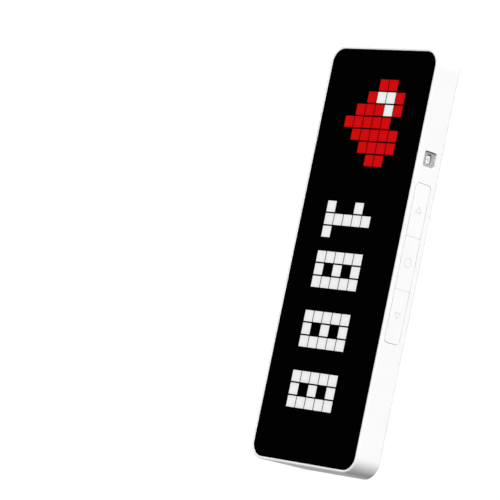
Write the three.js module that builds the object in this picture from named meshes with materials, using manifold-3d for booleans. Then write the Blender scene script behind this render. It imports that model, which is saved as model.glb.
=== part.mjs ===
// Smart pixel clock: a long low box with a pixel display in front, three keys on top and a sloping back.
// Millimetres. +X points to the display's right, +Y to the back and +Z up.
// The origin lies on the standing surface, under the middle of the box.

import * as THREE from 'three';
import { mergeGeometries, mergeVertices } from 'three/addons/utils/BufferGeometryUtils.js';
import Module from 'manifold-3d';

const wasm = await Module();
wasm.setup();

// Housing
const bodyLength = 200.6;
const bodyHeight = 70.3;
const bodyDepth = 31.9;
const keyFaceDepth = 15.6;
const slopeAngle = Math.PI / 4;
const wallThickness = 2.2;
const rimWidth = 1.2;
const endCornerRadius = 8;
const frontEdgeRadius = 0.5;
const slopeEdgeRadius = 1.5;
const backEdgeRadius = 1;
const postWidth = 9;
const postHeight = 9;
const topPostLength = 8.4;
const screwInset = 6.6;
const bossRadius = 2.3;

// Clearances
const seatGap = 0.1;
const skinGap = 0.02;
const holeClearance = 0.15;
const overrun = 1;

// Display
const windowThickness = 1.2;
const windowClearance = 0.12;
const windowEdge = 0.2;
const tapeThickness = 0.2;
const diffuserThickness = 0.5;
const diffuserInset = 0.5;
const gridDepth = 4;
const gridWeb = 0.7;
const gridEndClearance = 0.45;
const columns = 32;
const rows = 8;
const matrixHeightShare = 0.735;
const ledBoardThickness = 1.6;
const ledBoardClearance = 0.6;
const ledSize = 3.6;
const ledHeight = 1.4;

// Keys, in one opening of the key face
const keyCount = 3;
const keyOpeningLength = 75.5;
const keyOpeningSetback = 2.2;
const keyOpeningRearSetback = 3.2;
const keyOpeningCorner = 1.9;
const keyInnerCorner = 0.4;
const keyGroove = 0.15;
const keyTravel = 0.5;
const keyWingHeight = 1;
const keyWingReach = 0.5;
const keyStemRadius = 1.6;
const keyStemLength = 0.3;
const keyPlay = 0.05;
const markDepth = 0.15;
const markWidth = 0.45;
const ringMarkSize = 4.9;
const arrowMarkHeight = 4.2;
const arrowMarkLength = 3;

// Switches under the keys
const switchSize = 6;
const switchHeight = 3.1;
const plungerRadius = 1.7;
const plungerLength = 1.9;
const plungerBoreDepth = 2.6;
const keyBoardThickness = 1.2;
const keyBoardOverhang = 4;
const keyBoardFrontRoom = 1;
const keyBoardRearRoom = 1.6;
const keyBoardScrewInset = 2.8;
const keyBoardScrewOut = 3.75;
const keyBoardScrewLength = 5;

// Light sensor, to the left of the keys
const sensorLength = 7.3;
const sensorWidth = 7.9;
const sensorCorner = 1;
const sensorFromKeys = 8.1;
const sensorBehindKeyLine = 0.5;
const sensorClearance = 0.1;
const bezelRecess = 0.9;
const bezelFlange = 0.7;
const bezelFlangeHeight = 1;
const lensLength = 4.2;
const lensWidth = 3.3;
const lensCorner = 1.2;
const lensBehindMiddle = 0.3;
const lensEdge = 0.25;
const lensClearance = 0.25;
const lensBelowBezel = 0.5;
const sensorCanSize = 5.2;
const sensorCanHeight = 1.6;

// Rear cover
const coverInset = 4;
const coverThickness = 2;
const coverLedge = 1.5;
const coverClearance = 0.15;
const coverCorner = 5;
const coverScrewInset = 4.4;
const backFrameThickness = 3.6;
const ventTopMargin = 6;
const ventLength = 14;
const ventWidth = 1.2;
const ventPitch = 3.2;
const soundHoleRadius = 0.8;
const soundHoleRing = 3.2;
const soundHoleCount = 6;

// Screws
const screwHeadRadius = 2.1;
const screwHeadHeight = 1.5;
const screwShankRadius = 1.15;
const screwLength = 7;
const mainScrewLength = 5;
const recessLength = 2.2;
const recessWidth = 0.6;
const recessDepth = 0.7;
const screwTaper = 0.6;

// Battery: the two thickest cells that fit, one above the other
const cellLength = 65;
const cellFrontRoom = 2.7;
const cellBevel = 0.6;
const cellTipRadius = 3;
const cellTipLength = 0.8;
const cellGap = 0.3;
const holderWall = 1;
const holderBase = 0.8;
const holderSideHeight = 6;
const holderEndHeight = 12;
const holderFromPost = 3;
const holderEndRoom = 0.3;
const holderClearance = 1.5;

// Main board, on the rear cover
const mainBoardLengthShare = 0.727;
const mainBoardMargin = 3.85;
const mainBoardThickness = 1.6;
const mainBoardCorner = 1.9;
const mainBoardGap = 5;
const mainBoardScrewInset = 3.2;
const standoffRadius = 2.6;
const standoffLength = 6.5;
const moduleLength = 25.5;
const moduleWidth = 18;
const moduleBoard = 0.8;
const moduleShield = 2.4;
const moduleShieldInset = 1.1;
const moduleAntenna = 6;
const buzzerRadius = 6;
const buzzerHeight = 5;
const buzzerHoleRadius = 1;
const buzzerHoleDepth = 3;
const humiditySize = 3;
const humidityHeight = 1;
const humidityWindow = 1;
const backupRadius = 6.2;
const backupThickness = 2.1;
const backupWall = 0.9;
const backupFloor = 0.6;
const connectorLength = 8;
const connectorWidth = 4.5;
const connectorHeight = 4;
const connectorWall = 0.7;
const componentMargin = 1.2;
const ribbonRise = 14;
const backRowGapShares = [0.165, 0.089, 0.65];
const frontRowGapShares = [0, 0.08, 0.133];

// Charging socket
const socketLength = 8.94;
const socketHeight = 3.26;
const socketWall = 0.3;
const socketTongue = 0.7;
const socketTongueLength = 6.69;
const socketTongueRecess = 0.7;
const socketBack = 1;
const socketRecess = 0.6;
const socketAboveBoardEdge = 6;
const portClearance = 0.6;

// Leads inside
const leadRadius = 0.9;
const leadEndGap = 0.3;
const ribbonWidth = 6;
const ribbonThickness = 0.8;
const leadBendShares = [0.1, 0.3];

// Feet
const footRadius = 5;
const footThickness = 1.2;
const footStand = 0.6;
const footClearance = 0.15;
const footFromEnd = 15;
const footDepthShare = 0.266;
const footEdge = 0.25;

// Facet counts
const cornerSteps = 6;
const edgeSteps = 3;
const slopeEdgeSteps = 3;
const plateCurveSegments = 3;
const roundSides = 20;
const screwSides = 12;
const innerScrewSides = 8;
const holeSides = 8;
const leadSides = 8;
const leadSteps = 10;
const weldDistance = 1e-5;

// Planes and places that several pieces share.
// Depths count from the front face and heights from the underside.
const ledgeDepth = windowThickness + tapeThickness;
const innerHalfLength = bodyLength / 2 - wallThickness;
const innerTop = bodyHeight - wallThickness;
const displayMiddle = bodyHeight / 2;
const backHeight = bodyHeight - (bodyDepth - keyFaceDepth) * Math.tan(slopeAngle);
const gridFront = windowThickness + seatGap + diffuserThickness + seatGap;
const gridBack = gridFront + gridDepth;
const gridLength = 2 * (innerHalfLength - gridEndClearance);
const gridHeight = (bodyHeight - 2 * rimWidth) * matrixHeightShare + gridWeb;
const columnPitch = (gridLength - gridWeb) / columns;
const rowPitch = (gridHeight - gridWeb) / rows;
const ledBoardFront = gridBack + seatGap;
const ledBoardBack = ledBoardFront + ledBoardThickness;
const ledBoardEdge = wallThickness + ledBoardClearance;
const coverFront = bodyDepth - coverThickness;
const coverLow = coverInset + coverClearance;
const coverHigh = backHeight - coverInset - coverClearance;
const postInner = innerHalfLength - postWidth;
const screwX = bodyLength / 2 - screwInset;
const screwLow = (ledBoardEdge + displayMiddle - gridHeight / 2) / 2;
const screwHigh = bodyHeight - screwLow;
const coverScrewX = bodyLength / 2 - coverInset - coverScrewInset;
const coverScrewLow = coverInset + coverScrewInset;
const coverScrewHigh = backHeight - coverInset - coverScrewInset;
const keyOpeningFar = keyFaceDepth - keyOpeningRearSetback;
const keyOpeningWidth = keyOpeningFar - keyOpeningSetback;
const keyLineDepth = keyOpeningSetback + keyOpeningWidth / 2;
const sensorCentreX = -(keyOpeningLength / 2 + sensorFromKeys + sensorLength / 2);
const sensorDepth = keyLineDepth + sensorBehindKeyLine;
const keyLength = (keyOpeningLength - (keyCount + 1) * keyGroove) / keyCount;
const keyWidth = keyOpeningWidth - 2 * keyGroove;
const keyPitch = keyLength + keyGroove;
const wingTop = innerTop - seatGap;
const wingBottom = wingTop - keyWingHeight;
const stemBottom = wingBottom - keyStemLength;
const plungerTop = stemBottom - keyPlay;
const switchTop = plungerTop - keyTravel - seatGap;
const keyBoardTop = switchTop - switchHeight - seatGap;
const keyBoardBottom = keyBoardTop - keyBoardThickness;
const keyBoardScrewX = keyOpeningLength / 2 + keyBoardScrewOut;
const keyBoardLeft = sensorCentreX - sensorLength / 2 - keyBoardOverhang;
const keyBoardRight = keyBoardScrewX + bossRadius + keyBoardOverhang;
const keyBoardRear = keyOpeningFar + keyBoardRearRoom;
const keyBoardScrewDepth = keyBoardRear - keyBoardScrewInset;
const rearMiddle = (coverLow + coverHigh) / 2;
const cellBack = coverFront - seatGap - holderBase - cellGap;
const cellRoomDeep = cellBack - cellFrontRoom - ledBoardBack;
const holderRoomHigh = backHeight - 2 * (coverInset + coverLedge + holderClearance);
const cellRoomHigh = holderRoomHigh - 2 * holderWall - 3 * cellGap;
const cellRadius = Math.min(cellRoomDeep / 2, cellRoomHigh / 4);
const cellMiddleDepth = cellBack - cellRadius;
const holderLeft = -postInner + holderFromPost;
const holderLength = cellLength + cellTipLength + 2 * (holderEndRoom + holderWall);
const holderRight = holderLeft + holderLength;
const cellPitch = 2 * cellRadius + cellGap;
const mainBoardLeft = holderRight + mainBoardGap;
const mainBoardLength = (postInner - mainBoardLeft) * mainBoardLengthShare;
const mainBoardRight = mainBoardLeft + mainBoardLength;
const mainBoardHeight = coverHigh - coverLow - 2 * mainBoardMargin;
const mainBoardLow = rearMiddle - mainBoardHeight / 2;
const mainBoardHigh = rearMiddle + mainBoardHeight / 2;
const mainBoardBack = coverFront - standoffLength;
const mainBoardFront = mainBoardBack - seatGap - mainBoardThickness;
const componentBackSeat = mainBoardBack - seatGap + skinGap;
const componentFrontSeat = mainBoardFront - skinGap;
const keyConnectorX = sensorCentreX / 2;
const keyConnectorDepth = ledBoardBack + connectorWidth / 2 + componentMargin;

// Middles of pieces in a row: each share is the part of the spare room that lies before its piece
function spread(start, end, lengths, gapShares) {
  const spare = end - start - lengths.reduce((sum, length) => sum + length);
  let reach = start;
  return lengths.map((length, i) => {
    reach += spare * gapShares[i] + length;
    return reach - length / 2;
  });
}

// Row on the main board's back, between its lower screws: the socket, the backup cell and the buzzer
const backupOuter = backupRadius + seatGap + backupWall;
const standoffReach = mainBoardScrewInset + standoffRadius;
const [socketX, backupX, buzzerX] = spread(
  mainBoardLeft + standoffReach,
  mainBoardRight - standoffReach,
  [socketLength, 2 * backupOuter, 2 * buzzerRadius],
  backRowGapShares,
);
const socketZ = mainBoardLow + socketAboveBoardEdge;
const backupZ = mainBoardLow + backupOuter + componentMargin;
const buzzerZ = mainBoardLow + buzzerRadius + componentMargin;

// Row on the main board's front: the battery's connector, the wireless module and the ribbon's connector
const [batteryConnectorX, moduleX, ribbonX] = spread(
  mainBoardLeft + componentMargin,
  mainBoardRight - componentMargin,
  [connectorLength, moduleLength, connectorLength],
  frontRowGapShares,
);
const moduleZ = mainBoardHigh - moduleWidth / 2 - componentMargin;

// Vents above the buzzer, as many as there is room for
const ventMiddleX = mainBoardRight - ventLength;
const ventLow = buzzerZ + buzzerRadius + ventPitch;
const ventRoom = coverHigh - ventTopMargin - ventLow - ventWidth;
const ventCount = 1 + Math.floor(ventRoom / ventPitch);

// Materials
function plastic(color, roughness) {
  return new THREE.MeshStandardMaterial({ color, roughness, metalness: 0 });
}

function metal(color, roughness) {
  return new THREE.MeshStandardMaterial({ color, roughness, metalness: 1 });
}

const whitePlastic = plastic(0xf2f2f1, 0.45);
const blackWindow = plastic(0x050506, 0.12);
const blackPlastic = plastic(0x141415, 0.6);
const tapeFilm = plastic(0x1b1b1b, 0.8);
const diffuserFilm = plastic(0xf4f4f0, 0.7);
const boardLaminate = plastic(0x17342a, 0.5);
const greyPlastic = plastic(0x8b8d90, 0.4);
const sensorResin = plastic(0xe6e8ea, 0.15);
const connectorPlastic = plastic(0xe8e4d8, 0.55);
const cellWrap = plastic(0x2a6fb0, 0.35);
const leadJacket = plastic(0xc23a2c, 0.5);
const footRubber = plastic(0x3c3d3f, 0.9);
const screwSteel = metal(0xb4b6b8, 0.35);
const shieldSteel = metal(0xc6c8ca, 0.3);

// A solid that can be cut and joined, from a closed geometry
function toSolid(geometry) {
  const bare = new THREE.BufferGeometry();
  bare.setAttribute('position', geometry.attributes.position);
  bare.setIndex(geometry.index);
  const welded = mergeVertices(bare, weldDistance);
  const corners = welded.index.array;
  const triangles = [];
  for (let i = 0; i < corners.length; i += 3) {
    const [a, b, c] = corners.slice(i, i + 3);
    if (a !== b && b !== c && c !== a) {
      triangles.push(a, b, c);
    }
  }
  const vertProperties = Float32Array.from(welded.attributes.position.array);
  const triVerts = Uint32Array.from(triangles);
  return new wasm.Manifold(new wasm.Mesh({ numProp: 3, vertProperties, triVerts }));
}

function toGeometry(solid) {
  const { vertProperties, triVerts } = solid.getMesh();
  const geometry = new THREE.BufferGeometry();
  geometry.setAttribute('position', new THREE.BufferAttribute(vertProperties, 3));
  geometry.setIndex(new THREE.BufferAttribute(triVerts, 1));
  geometry.computeVertexNormals();
  return geometry;
}

function join(first, ...others) {
  return toGeometry(others.reduce((whole, other) => whole.add(toSolid(other)), toSolid(first)));
}

function cut(first, ...cutters) {
  return toGeometry(cutters.reduce((whole, cutter) => whole.subtract(toSolid(cutter)), toSolid(first)));
}

function overlap(first, second) {
  return toGeometry(toSolid(first).intersect(toSolid(second)));
}

// A rounded rectangle, with its corners in the order low left, low right, high right, high left
function roundedOutline(left, right, low, high, radii) {
  const [lowLeft, lowRight, highRight, highLeft] = radii.length ? radii : Array(4).fill(radii);
  const shape = new THREE.Shape();
  shape.moveTo(left + lowLeft, low);
  shape.lineTo(right - lowRight, low);
  shape.absarc(right - lowRight, low + lowRight, lowRight, -Math.PI / 2, 0);
  shape.lineTo(right, high - highRight);
  shape.absarc(right - highRight, high - highRight, highRight, 0, Math.PI / 2);
  shape.lineTo(left + highLeft, high);
  shape.absarc(left + highLeft, high - highLeft, highLeft, Math.PI / 2, Math.PI);
  shape.lineTo(left, low + lowLeft);
  shape.absarc(left + lowLeft, low + lowLeft, lowLeft, Math.PI, 1.5 * Math.PI);
  return shape;
}

// An outline drawn from the front, given a thickness from one depth to another
function frontPlate(shape, near, far) {
  const options = { depth: far - near, bevelEnabled: false, curveSegments: plateCurveSegments };
  return new THREE.ExtrudeGeometry(shape, options).rotateX(Math.PI / 2).translate(0, far, 0);
}

// An outline drawn from above, given a thickness from one height to another
function levelPlate(shape, low, high) {
  const options = { depth: high - low, bevelEnabled: false, curveSegments: plateCurveSegments };
  return new THREE.ExtrudeGeometry(shape, options).translate(0, 0, low);
}

function block([left, right], [near, far], [low, high]) {
  const geometry = new THREE.BoxGeometry(right - left, far - near, high - low);
  return geometry.translate((left + right) / 2, (near + far) / 2, (low + high) / 2);
}

function rodAlongY(radius, x, z, near, far, sides) {
  return new THREE.CylinderGeometry(radius, radius, far - near, sides).translate(x, (near + far) / 2, z);
}

function rodAlongZ(radius, x, y, low, high, sides) {
  const rod = new THREE.CylinderGeometry(radius, radius, high - low, sides).rotateX(Math.PI / 2);
  return rod.translate(x, y, (low + high) / 2);
}

// A body turned about its own vertical axis, from points given as [radius, height]
function turned(points, sides) {
  const profile = points.map(([radius, height]) => new THREE.Vector2(radius, height));
  return new THREE.LatheGeometry(profile, sides).rotateX(Math.PI / 2);
}

// Signs of the two sides of a middle plane, for mirrored pieces
const bothSides = [-1, 1];

// Height of the housing's top at a depth, for a surface that lies an offset inside the outer one
function topAt(depth, offset) {
  const slope = bodyHeight - (depth - keyFaceDepth) * Math.tan(slopeAngle) - offset / Math.cos(slopeAngle);
  return Math.min(bodyHeight - offset, slope);
}

// One ring of the housing, counter-clockwise as seen from the front
function housingRing(depth, inset, top, radius) {
  const right = bodyLength / 2 - inset - radius;
  const low = inset + radius;
  const high = top - radius;
  const corners = [
    [right, low, -Math.PI / 2],
    [right, high, 0],
    [-right, high, Math.PI / 2],
    [-right, low, Math.PI],
  ];
  const points = [];
  for (const [x, z, start] of corners) {
    for (let i = 0; i <= cornerSteps; i += 1) {
      const angle = start + (i / cornerSteps) * (Math.PI / 2);
      points.push([x + radius * Math.cos(angle), depth, z + radius * Math.sin(angle)]);
    }
  }
  return points;
}

// A closed skin over rings that have the same number of points
function loft(rings) {
  const count = rings[0].length;
  const index = [];
  for (let ring = 0; ring < rings.length - 1; ring += 1) {
    for (let i = 0; i < count; i += 1) {
      const here = ring * count + i;
      const next = ring * count + ((i + 1) % count);
      index.push(here, here + count, next, next, here + count, next + count);
    }
  }
  const last = (rings.length - 1) * count;
  for (let i = 1; i < count - 1; i += 1) {
    index.push(0, i, i + 1);
    index.push(last, last + i + 1, last + i);
  }
  const geometry = new THREE.BufferGeometry();
  geometry.setAttribute('position', new THREE.Float32BufferAttribute(rings.flat(2), 3));
  geometry.setIndex(index);
  return geometry;
}

function outerShell() {
  const rings = [];
  const addRing = (depth, inset, top) => {
    rings.push(housingRing(depth, inset, top, endCornerRadius - inset));
  };
  for (let i = 0; i <= edgeSteps; i += 1) {
    const angle = ((i / edgeSteps) * Math.PI) / 2;
    const inset = frontEdgeRadius * (1 - Math.sin(angle));
    addRing(frontEdgeRadius * (1 - Math.cos(angle)), inset, bodyHeight - inset);
  }
  const turnStart = keyFaceDepth - slopeEdgeRadius * Math.tan(slopeAngle / 2);
  for (let i = 0; i <= slopeEdgeSteps; i += 1) {
    const angle = (i / slopeEdgeSteps) * slopeAngle;
    const top = bodyHeight - slopeEdgeRadius * (1 - Math.cos(angle));
    addRing(turnStart + slopeEdgeRadius * Math.sin(angle), 0, top);
  }
  const arcMiddle = backHeight - backEdgeRadius * Math.tan((Math.PI / 2 - slopeAngle) / 2);
  for (let i = 0; i <= edgeSteps; i += 1) {
    const angle = ((i / edgeSteps) * Math.PI) / 2;
    const depth = bodyDepth - backEdgeRadius * (1 - Math.sin(angle));
    const arcTop = arcMiddle + backEdgeRadius * Math.cos(angle);
    const top = angle < slopeAngle ? topAt(depth, 0) : arcTop;
    addRing(depth, backEdgeRadius * (1 - Math.cos(angle)), top);
  }
  return loft(rings);
}

// The space that lies an offset inside the outer shell, from one depth to another
function innerSpace(offset, near, far) {
  const turn = keyFaceDepth - offset * Math.tan(slopeAngle / 2);
  const radius = endCornerRadius - offset;
  return loft([near, turn, far].map((depth) => housingRing(depth, offset, topAt(depth, offset), radius)));
}

function windowOutline(clearance) {
  const inset = rimWidth + clearance;
  const half = bodyLength / 2 - inset;
  return roundedOutline(-half, half, inset, bodyHeight - inset, endCornerRadius - inset);
}

function coverOutline(inset, radius) {
  const half = bodyLength / 2 - coverInset - inset;
  return roundedOutline(-half, half, coverInset + inset, backHeight - coverInset - inset, radius);
}

// Posts in the corners: they carry the display's board in front and the rear cover behind
function housingPosts() {
  const rearEnd = coverFront - seatGap;
  const into = wallThickness / 2;
  const posts = [];
  for (const side of bothSides) {
    const span = [side * postInner, side * (innerHalfLength + into)].sort((a, b) => a - b);
    const boardPost = [ledBoardBack + seatGap, rearEnd];
    const topPost = [ledBoardBack + seatGap, ledBoardBack + seatGap + topPostLength];
    const coverPost = [cellMiddleDepth, rearEnd];
    posts.push(block(span, boardPost, [into, wallThickness + postHeight]));
    posts.push(block(span, topPost, [innerTop - postHeight, innerTop + into]));
    posts.push(block(span, coverPost, [coverScrewHigh - postHeight / 2, coverScrewHigh + postHeight / 2]));
    const bossX = side * keyBoardScrewX;
    const bossBottom = keyBoardTop + seatGap;
    posts.push(rodAlongZ(bossRadius, bossX, keyBoardScrewDepth, bossBottom, innerTop + into, roundSides));
  }
  return posts;
}

// Screw holes in the posts and bosses
function housingHoles() {
  const radius = screwShankRadius + holeClearance;
  const near = ledBoardBack;
  const holes = [];
  for (const side of bothSides) {
    const topEnd = near + topPostLength + overrun;
    holes.push(rodAlongY(radius, side * screwX, screwLow, near, topEnd, holeSides));
    holes.push(rodAlongY(radius, side * screwX, screwHigh, near, topEnd, holeSides));
    for (const z of [coverScrewLow, coverScrewHigh]) {
      holes.push(rodAlongY(radius, side * coverScrewX, z, cellMiddleDepth + overrun, bodyDepth, holeSides));
    }
    const bossHole = [keyBoardTop, keyBoardBottom + keyBoardScrewLength + holeClearance];
    holes.push(rodAlongZ(radius, side * keyBoardScrewX, keyBoardScrewDepth, ...bossHole, holeSides));
  }
  return holes;
}

function keyOpening() {
  const half = keyOpeningLength / 2;
  const outline = roundedOutline(-half, half, keyOpeningSetback, keyOpeningFar, keyOpeningCorner);
  return levelPlate(outline, innerTop - overrun, bodyHeight + overrun);
}

function sensorOutline(inset, radius) {
  const halfLength = sensorLength / 2 - inset;
  const halfWidth = sensorWidth / 2 - inset;
  const [left, right] = [sensorCentreX - halfLength, sensorCentreX + halfLength];
  return roundedOutline(left, right, sensorDepth - halfWidth, sensorDepth + halfWidth, radius);
}

// The four feet, as [x, depth, words for the name]
const footX = bodyLength / 2 - footFromEnd;
const footNear = bodyDepth * footDepthShare;
const footFar = bodyDepth - footNear;
const feet = [
  [-footX, footNear, 'front_left'],
  [footX, footNear, 'front_right'],
  [-footX, footFar, 'rear_left'],
  [footX, footFar, 'rear_right'],
];

function housingGeometry() {
  const windowRecess = frontPlate(windowOutline(0), -overrun, ledgeDepth);
  const coverRecess = frontPlate(coverOutline(0, coverCorner), coverFront - seatGap, bodyDepth + overrun);
  const throughOutline = coverOutline(coverLedge, coverCorner - coverLedge);
  const through = frontPlate(throughOutline, bodyDepth - backFrameThickness - overrun, bodyDepth);
  const cavity = innerSpace(wallThickness, windowThickness, bodyDepth - backFrameThickness);
  const hollow = cut(outerShell(), windowRecess, cavity, coverRecess, through);
  const aboveTop = bodyHeight + overrun;
  const sensorOpening = levelPlate(sensorOutline(0, sensorCorner), innerTop - overrun, aboveTop);
  const footRadiusCut = footRadius + footClearance;
  const footTop = footThickness - footStand + seatGap;
  const footRecesses = feet.map(([x, y]) => rodAlongZ(footRadiusCut, x, y, -overrun, footTop, roundSides));
  const postRoom = innerSpace(wallThickness / 2, ledBoardFront, bodyDepth);
  const carried = join(hollow, ...housingPosts().map((post) => overlap(post, postRoom)));
  return cut(carried, ...housingHoles(), keyOpening(), sensorOpening, ...footRecesses);
}

// Front sheet with a softened edge
function windowGeometry() {
  const face = frontPlate(windowOutline(windowClearance + windowEdge), 0, windowEdge + windowThickness / 2);
  const sheet = frontPlate(windowOutline(windowClearance), windowEdge, windowThickness);
  return join(sheet, face);
}

// Adhesive frame between the sheet and the housing's ledge
function tapeGeometry() {
  const near = windowThickness + skinGap;
  const far = ledgeDepth - skinGap;
  const frame = frontPlate(windowOutline(windowClearance), near, far);
  const half = innerHalfLength + skinGap;
  const low = wallThickness - skinGap;
  const radius = endCornerRadius - wallThickness;
  const opening = roundedOutline(-half, half, low, bodyHeight - low, radius);
  return cut(frame, frontPlate(opening, near - overrun, far + overrun));
}

function diffuserGeometry() {
  const half = gridLength / 2 - diffuserInset;
  const halfHeight = gridHeight / 2 - diffuserInset;
  const near = windowThickness + seatGap;
  const span = [displayMiddle - halfHeight, displayMiddle + halfHeight];
  return block([-half, half], [near, near + diffuserThickness], span);
}

// Middle of one pixel, counted from the display's low left
function pixelMiddle(column, row) {
  const x = (column - (columns - 1) / 2) * columnPitch;
  const z = displayMiddle + (row - (rows - 1) / 2) * rowPitch;
  return [x, z];
}

// The same block at every pixel
function pixelBlocks(width, height, near, far) {
  const blocks = [];
  for (let column = 0; column < columns; column += 1) {
    for (let row = 0; row < rows; row += 1) {
      const [x, z] = pixelMiddle(column, row);
      blocks.push(block([x - width / 2, x + width / 2], [near, far], [z - height / 2, z + height / 2]));
    }
  }
  return mergeGeometries(blocks);
}

function gridGeometry() {
  const low = displayMiddle - gridHeight / 2;
  const frame = block([-gridLength / 2, gridLength / 2], [gridFront, gridBack], [low, low + gridHeight]);
  const width = columnPitch - gridWeb;
  const height = rowPitch - gridWeb;
  return cut(frame, pixelBlocks(width, height, gridFront - overrun, gridBack + overrun));
}

// Circuit board with one diode for each pixel
function ledBoardGeometry() {
  const half = innerHalfLength - ledBoardClearance;
  const corner = endCornerRadius - ledBoardEdge;
  const outline = roundedOutline(-half, half, ledBoardEdge, bodyHeight - ledBoardEdge, corner);
  const board = frontPlate(outline, ledBoardFront, ledBoardBack);
  const across = [ledBoardFront - overrun, ledBoardBack + overrun];
  const notchSide = [keyBoardLeft - keyBoardOverhang, keyBoardRight + keyBoardOverhang];
  const notchLow = displayMiddle + gridHeight / 2 + seatGap;
  const notch = block(notchSide, across, [notchLow, bodyHeight]);
  const radius = screwShankRadius + holeClearance;
  const holes = bothSides.flatMap((side) => [
    rodAlongY(radius, side * screwX, screwLow, ...across, holeSides),
    rodAlongY(radius, side * screwX, screwHigh, ...across, holeSides),
  ]);
  const diodeSeat = ledBoardFront + ledBoardThickness / 2;
  const diodes = pixelBlocks(ledSize, ledSize, ledBoardFront - ledHeight, diodeSeat);
  return cut(join(board, diodes), notch, ...holes);
}

// Engraved marks of the keys, drawn about the key's own middle. This is one straight stroke of a mark.
function stroke([ax, ay], [bx, by]) {
  const bar = new THREE.BoxGeometry(Math.hypot(bx - ax, by - ay) + markWidth, markWidth, 2 * markDepth);
  return bar.rotateZ(Math.atan2(by - ay, bx - ax)).translate((ax + bx) / 2, (ay + by) / 2, 0);
}

// Triangle of three strokes that points away from the middle key
function arrowMark(direction) {
  const tip = (direction * (arrowMarkLength - markWidth)) / 2;
  const half = (arrowMarkHeight - markWidth) / 2;
  const corners = [[tip, 0], [-tip, -half], [-tip, half]];
  return join(...corners.map((corner, i) => stroke(corner, corners[(i + 1) % corners.length])));
}

// Ring that is open toward the back, with a bar in the opening
function powerMark() {
  const radius = ringMarkSize / 2;
  const ring = new THREE.Shape().absarc(0, 0, radius, 0, 2 * Math.PI);
  ring.holes.push(new THREE.Path().absarc(0, 0, radius - markWidth, 0, 2 * Math.PI));
  const options = { depth: 2 * markDepth, bevelEnabled: false, curveSegments: roundSides / 2 };
  const circle = new THREE.ExtrudeGeometry(ring, options).translate(0, 0, -markDepth);
  const gap = 2 * markWidth;
  const opened = cut(circle, block([-gap, gap], [radius - gap, radius + gap], [-overrun, overrun]));
  const across = [-markWidth / 2, markWidth / 2];
  const bar = block(across, [radius / 4, radius + markWidth / 2], [-markDepth, markDepth]);
  return mergeGeometries([opened, toGeometry(toSolid(bar))]);
}

// One key: the cap in the opening, wings under the wall that hold it in, and a stem over the switch.
// Its own frame has the middle of its top face as origin.
function keyGeometry(place, mark) {
  const half = keyLength / 2;
  const near = -keyWidth / 2;
  const outer = keyOpeningCorner - keyGroove;
  const left = place < 0 ? outer : keyInnerCorner;
  const right = place > 0 ? outer : keyInnerCorner;
  const capOutline = roundedOutline(-half, half, near, -near, [left, right, right, left]);
  const cap = levelPlate(capOutline, wingTop - bodyHeight, 0);
  const reach = keyWidth / 2 + keyGroove + keyWingReach;
  const wingSpan = [wingBottom - bodyHeight, wingTop - bodyHeight];
  const wings = block([-half + keyGroove, half - keyGroove], [-reach, reach], wingSpan);
  const stem = rodAlongZ(keyStemRadius, 0, 0, stemBottom - bodyHeight, wingTop - bodyHeight, screwSides);
  return cut(join(wings, cap, stem), mark);
}

// Switch under a key, in a frame at the middle of its seat
function switchGeometry() {
  const half = switchSize / 2;
  const base = block([-half, half], [-half, half], [0, switchHeight]);
  const bore = plungerRadius + holeClearance;
  const span = [switchHeight - plungerBoreDepth, switchHeight + overrun];
  return cut(base, rodAlongZ(bore, 0, 0, ...span, roundSides));
}

function plungerGeometry() {
  return rodAlongZ(plungerRadius, 0, 0, -plungerLength, 0, roundSides);
}

function keyBoardGeometry() {
  const near = ledgeDepth + keyBoardFrontRoom;
  const outline = roundedOutline(keyBoardLeft, keyBoardRight, near, keyBoardRear, keyInnerCorner);
  const radius = screwShankRadius + holeClearance;
  const span = [keyBoardBottom - overrun, keyBoardTop + overrun];
  const holes = bothSides.map((side) =>
    rodAlongZ(radius, side * keyBoardScrewX, keyBoardScrewDepth, ...span, holeSides));
  return cut(levelPlate(outline, keyBoardBottom, keyBoardTop), ...holes);
}

// Outline of the light sensor's lens, drawn about the sensor's middle
function lensOutline(inset) {
  const halfLength = lensLength / 2 - inset;
  const halfWidth = lensWidth / 2 - inset;
  const [near, far] = [lensBehindMiddle - halfWidth, lensBehindMiddle + halfWidth];
  return roundedOutline(-halfLength, halfLength, near, far, lensCorner - inset);
}

// Grey insert round the light sensor, with a flange under the wall
function bezelGeometry() {
  const low = wingTop - bezelFlangeHeight;
  const insert = levelPlate(sensorOutline(sensorClearance, sensorCorner), low, bodyHeight - bezelRecess);
  const flange = levelPlate(sensorOutline(-bezelFlange, sensorCorner), low, wingTop);
  const hole = levelPlate(lensOutline(-lensClearance), low - overrun, bodyHeight);
  return cut(join(insert, flange), hole.translate(sensorCentreX, sensorDepth, 0));
}

// Light sensor with a wide foot and a lens with a softened edge, its own origin at the middle of its seat
function lightSensorGeometry() {
  const height = bodyHeight - bezelRecess - lensBelowBezel - keyBoardTop - seatGap;
  const half = sensorCanSize / 2;
  const can = block([-half, half], [-half, half], [0, sensorCanHeight]);
  const lens = levelPlate(lensOutline(0), sensorCanHeight / 2, height - lensEdge);
  const face = levelPlate(lensOutline(lensEdge), sensorCanHeight / 2, height);
  return join(can, lens, face);
}

// Openings of the rear cover: the socket's port, the vents and the buzzer's sound holes
function portCutter() {
  const halfLength = socketLength / 2 + portClearance;
  const halfHeight = socketHeight / 2 + portClearance;
  const [left, right] = [socketX - halfLength, socketX + halfLength];
  const outline = roundedOutline(left, right, socketZ - halfHeight, socketZ + halfHeight, halfHeight);
  return frontPlate(outline, coverFront - overrun, bodyDepth + overrun);
}

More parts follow.
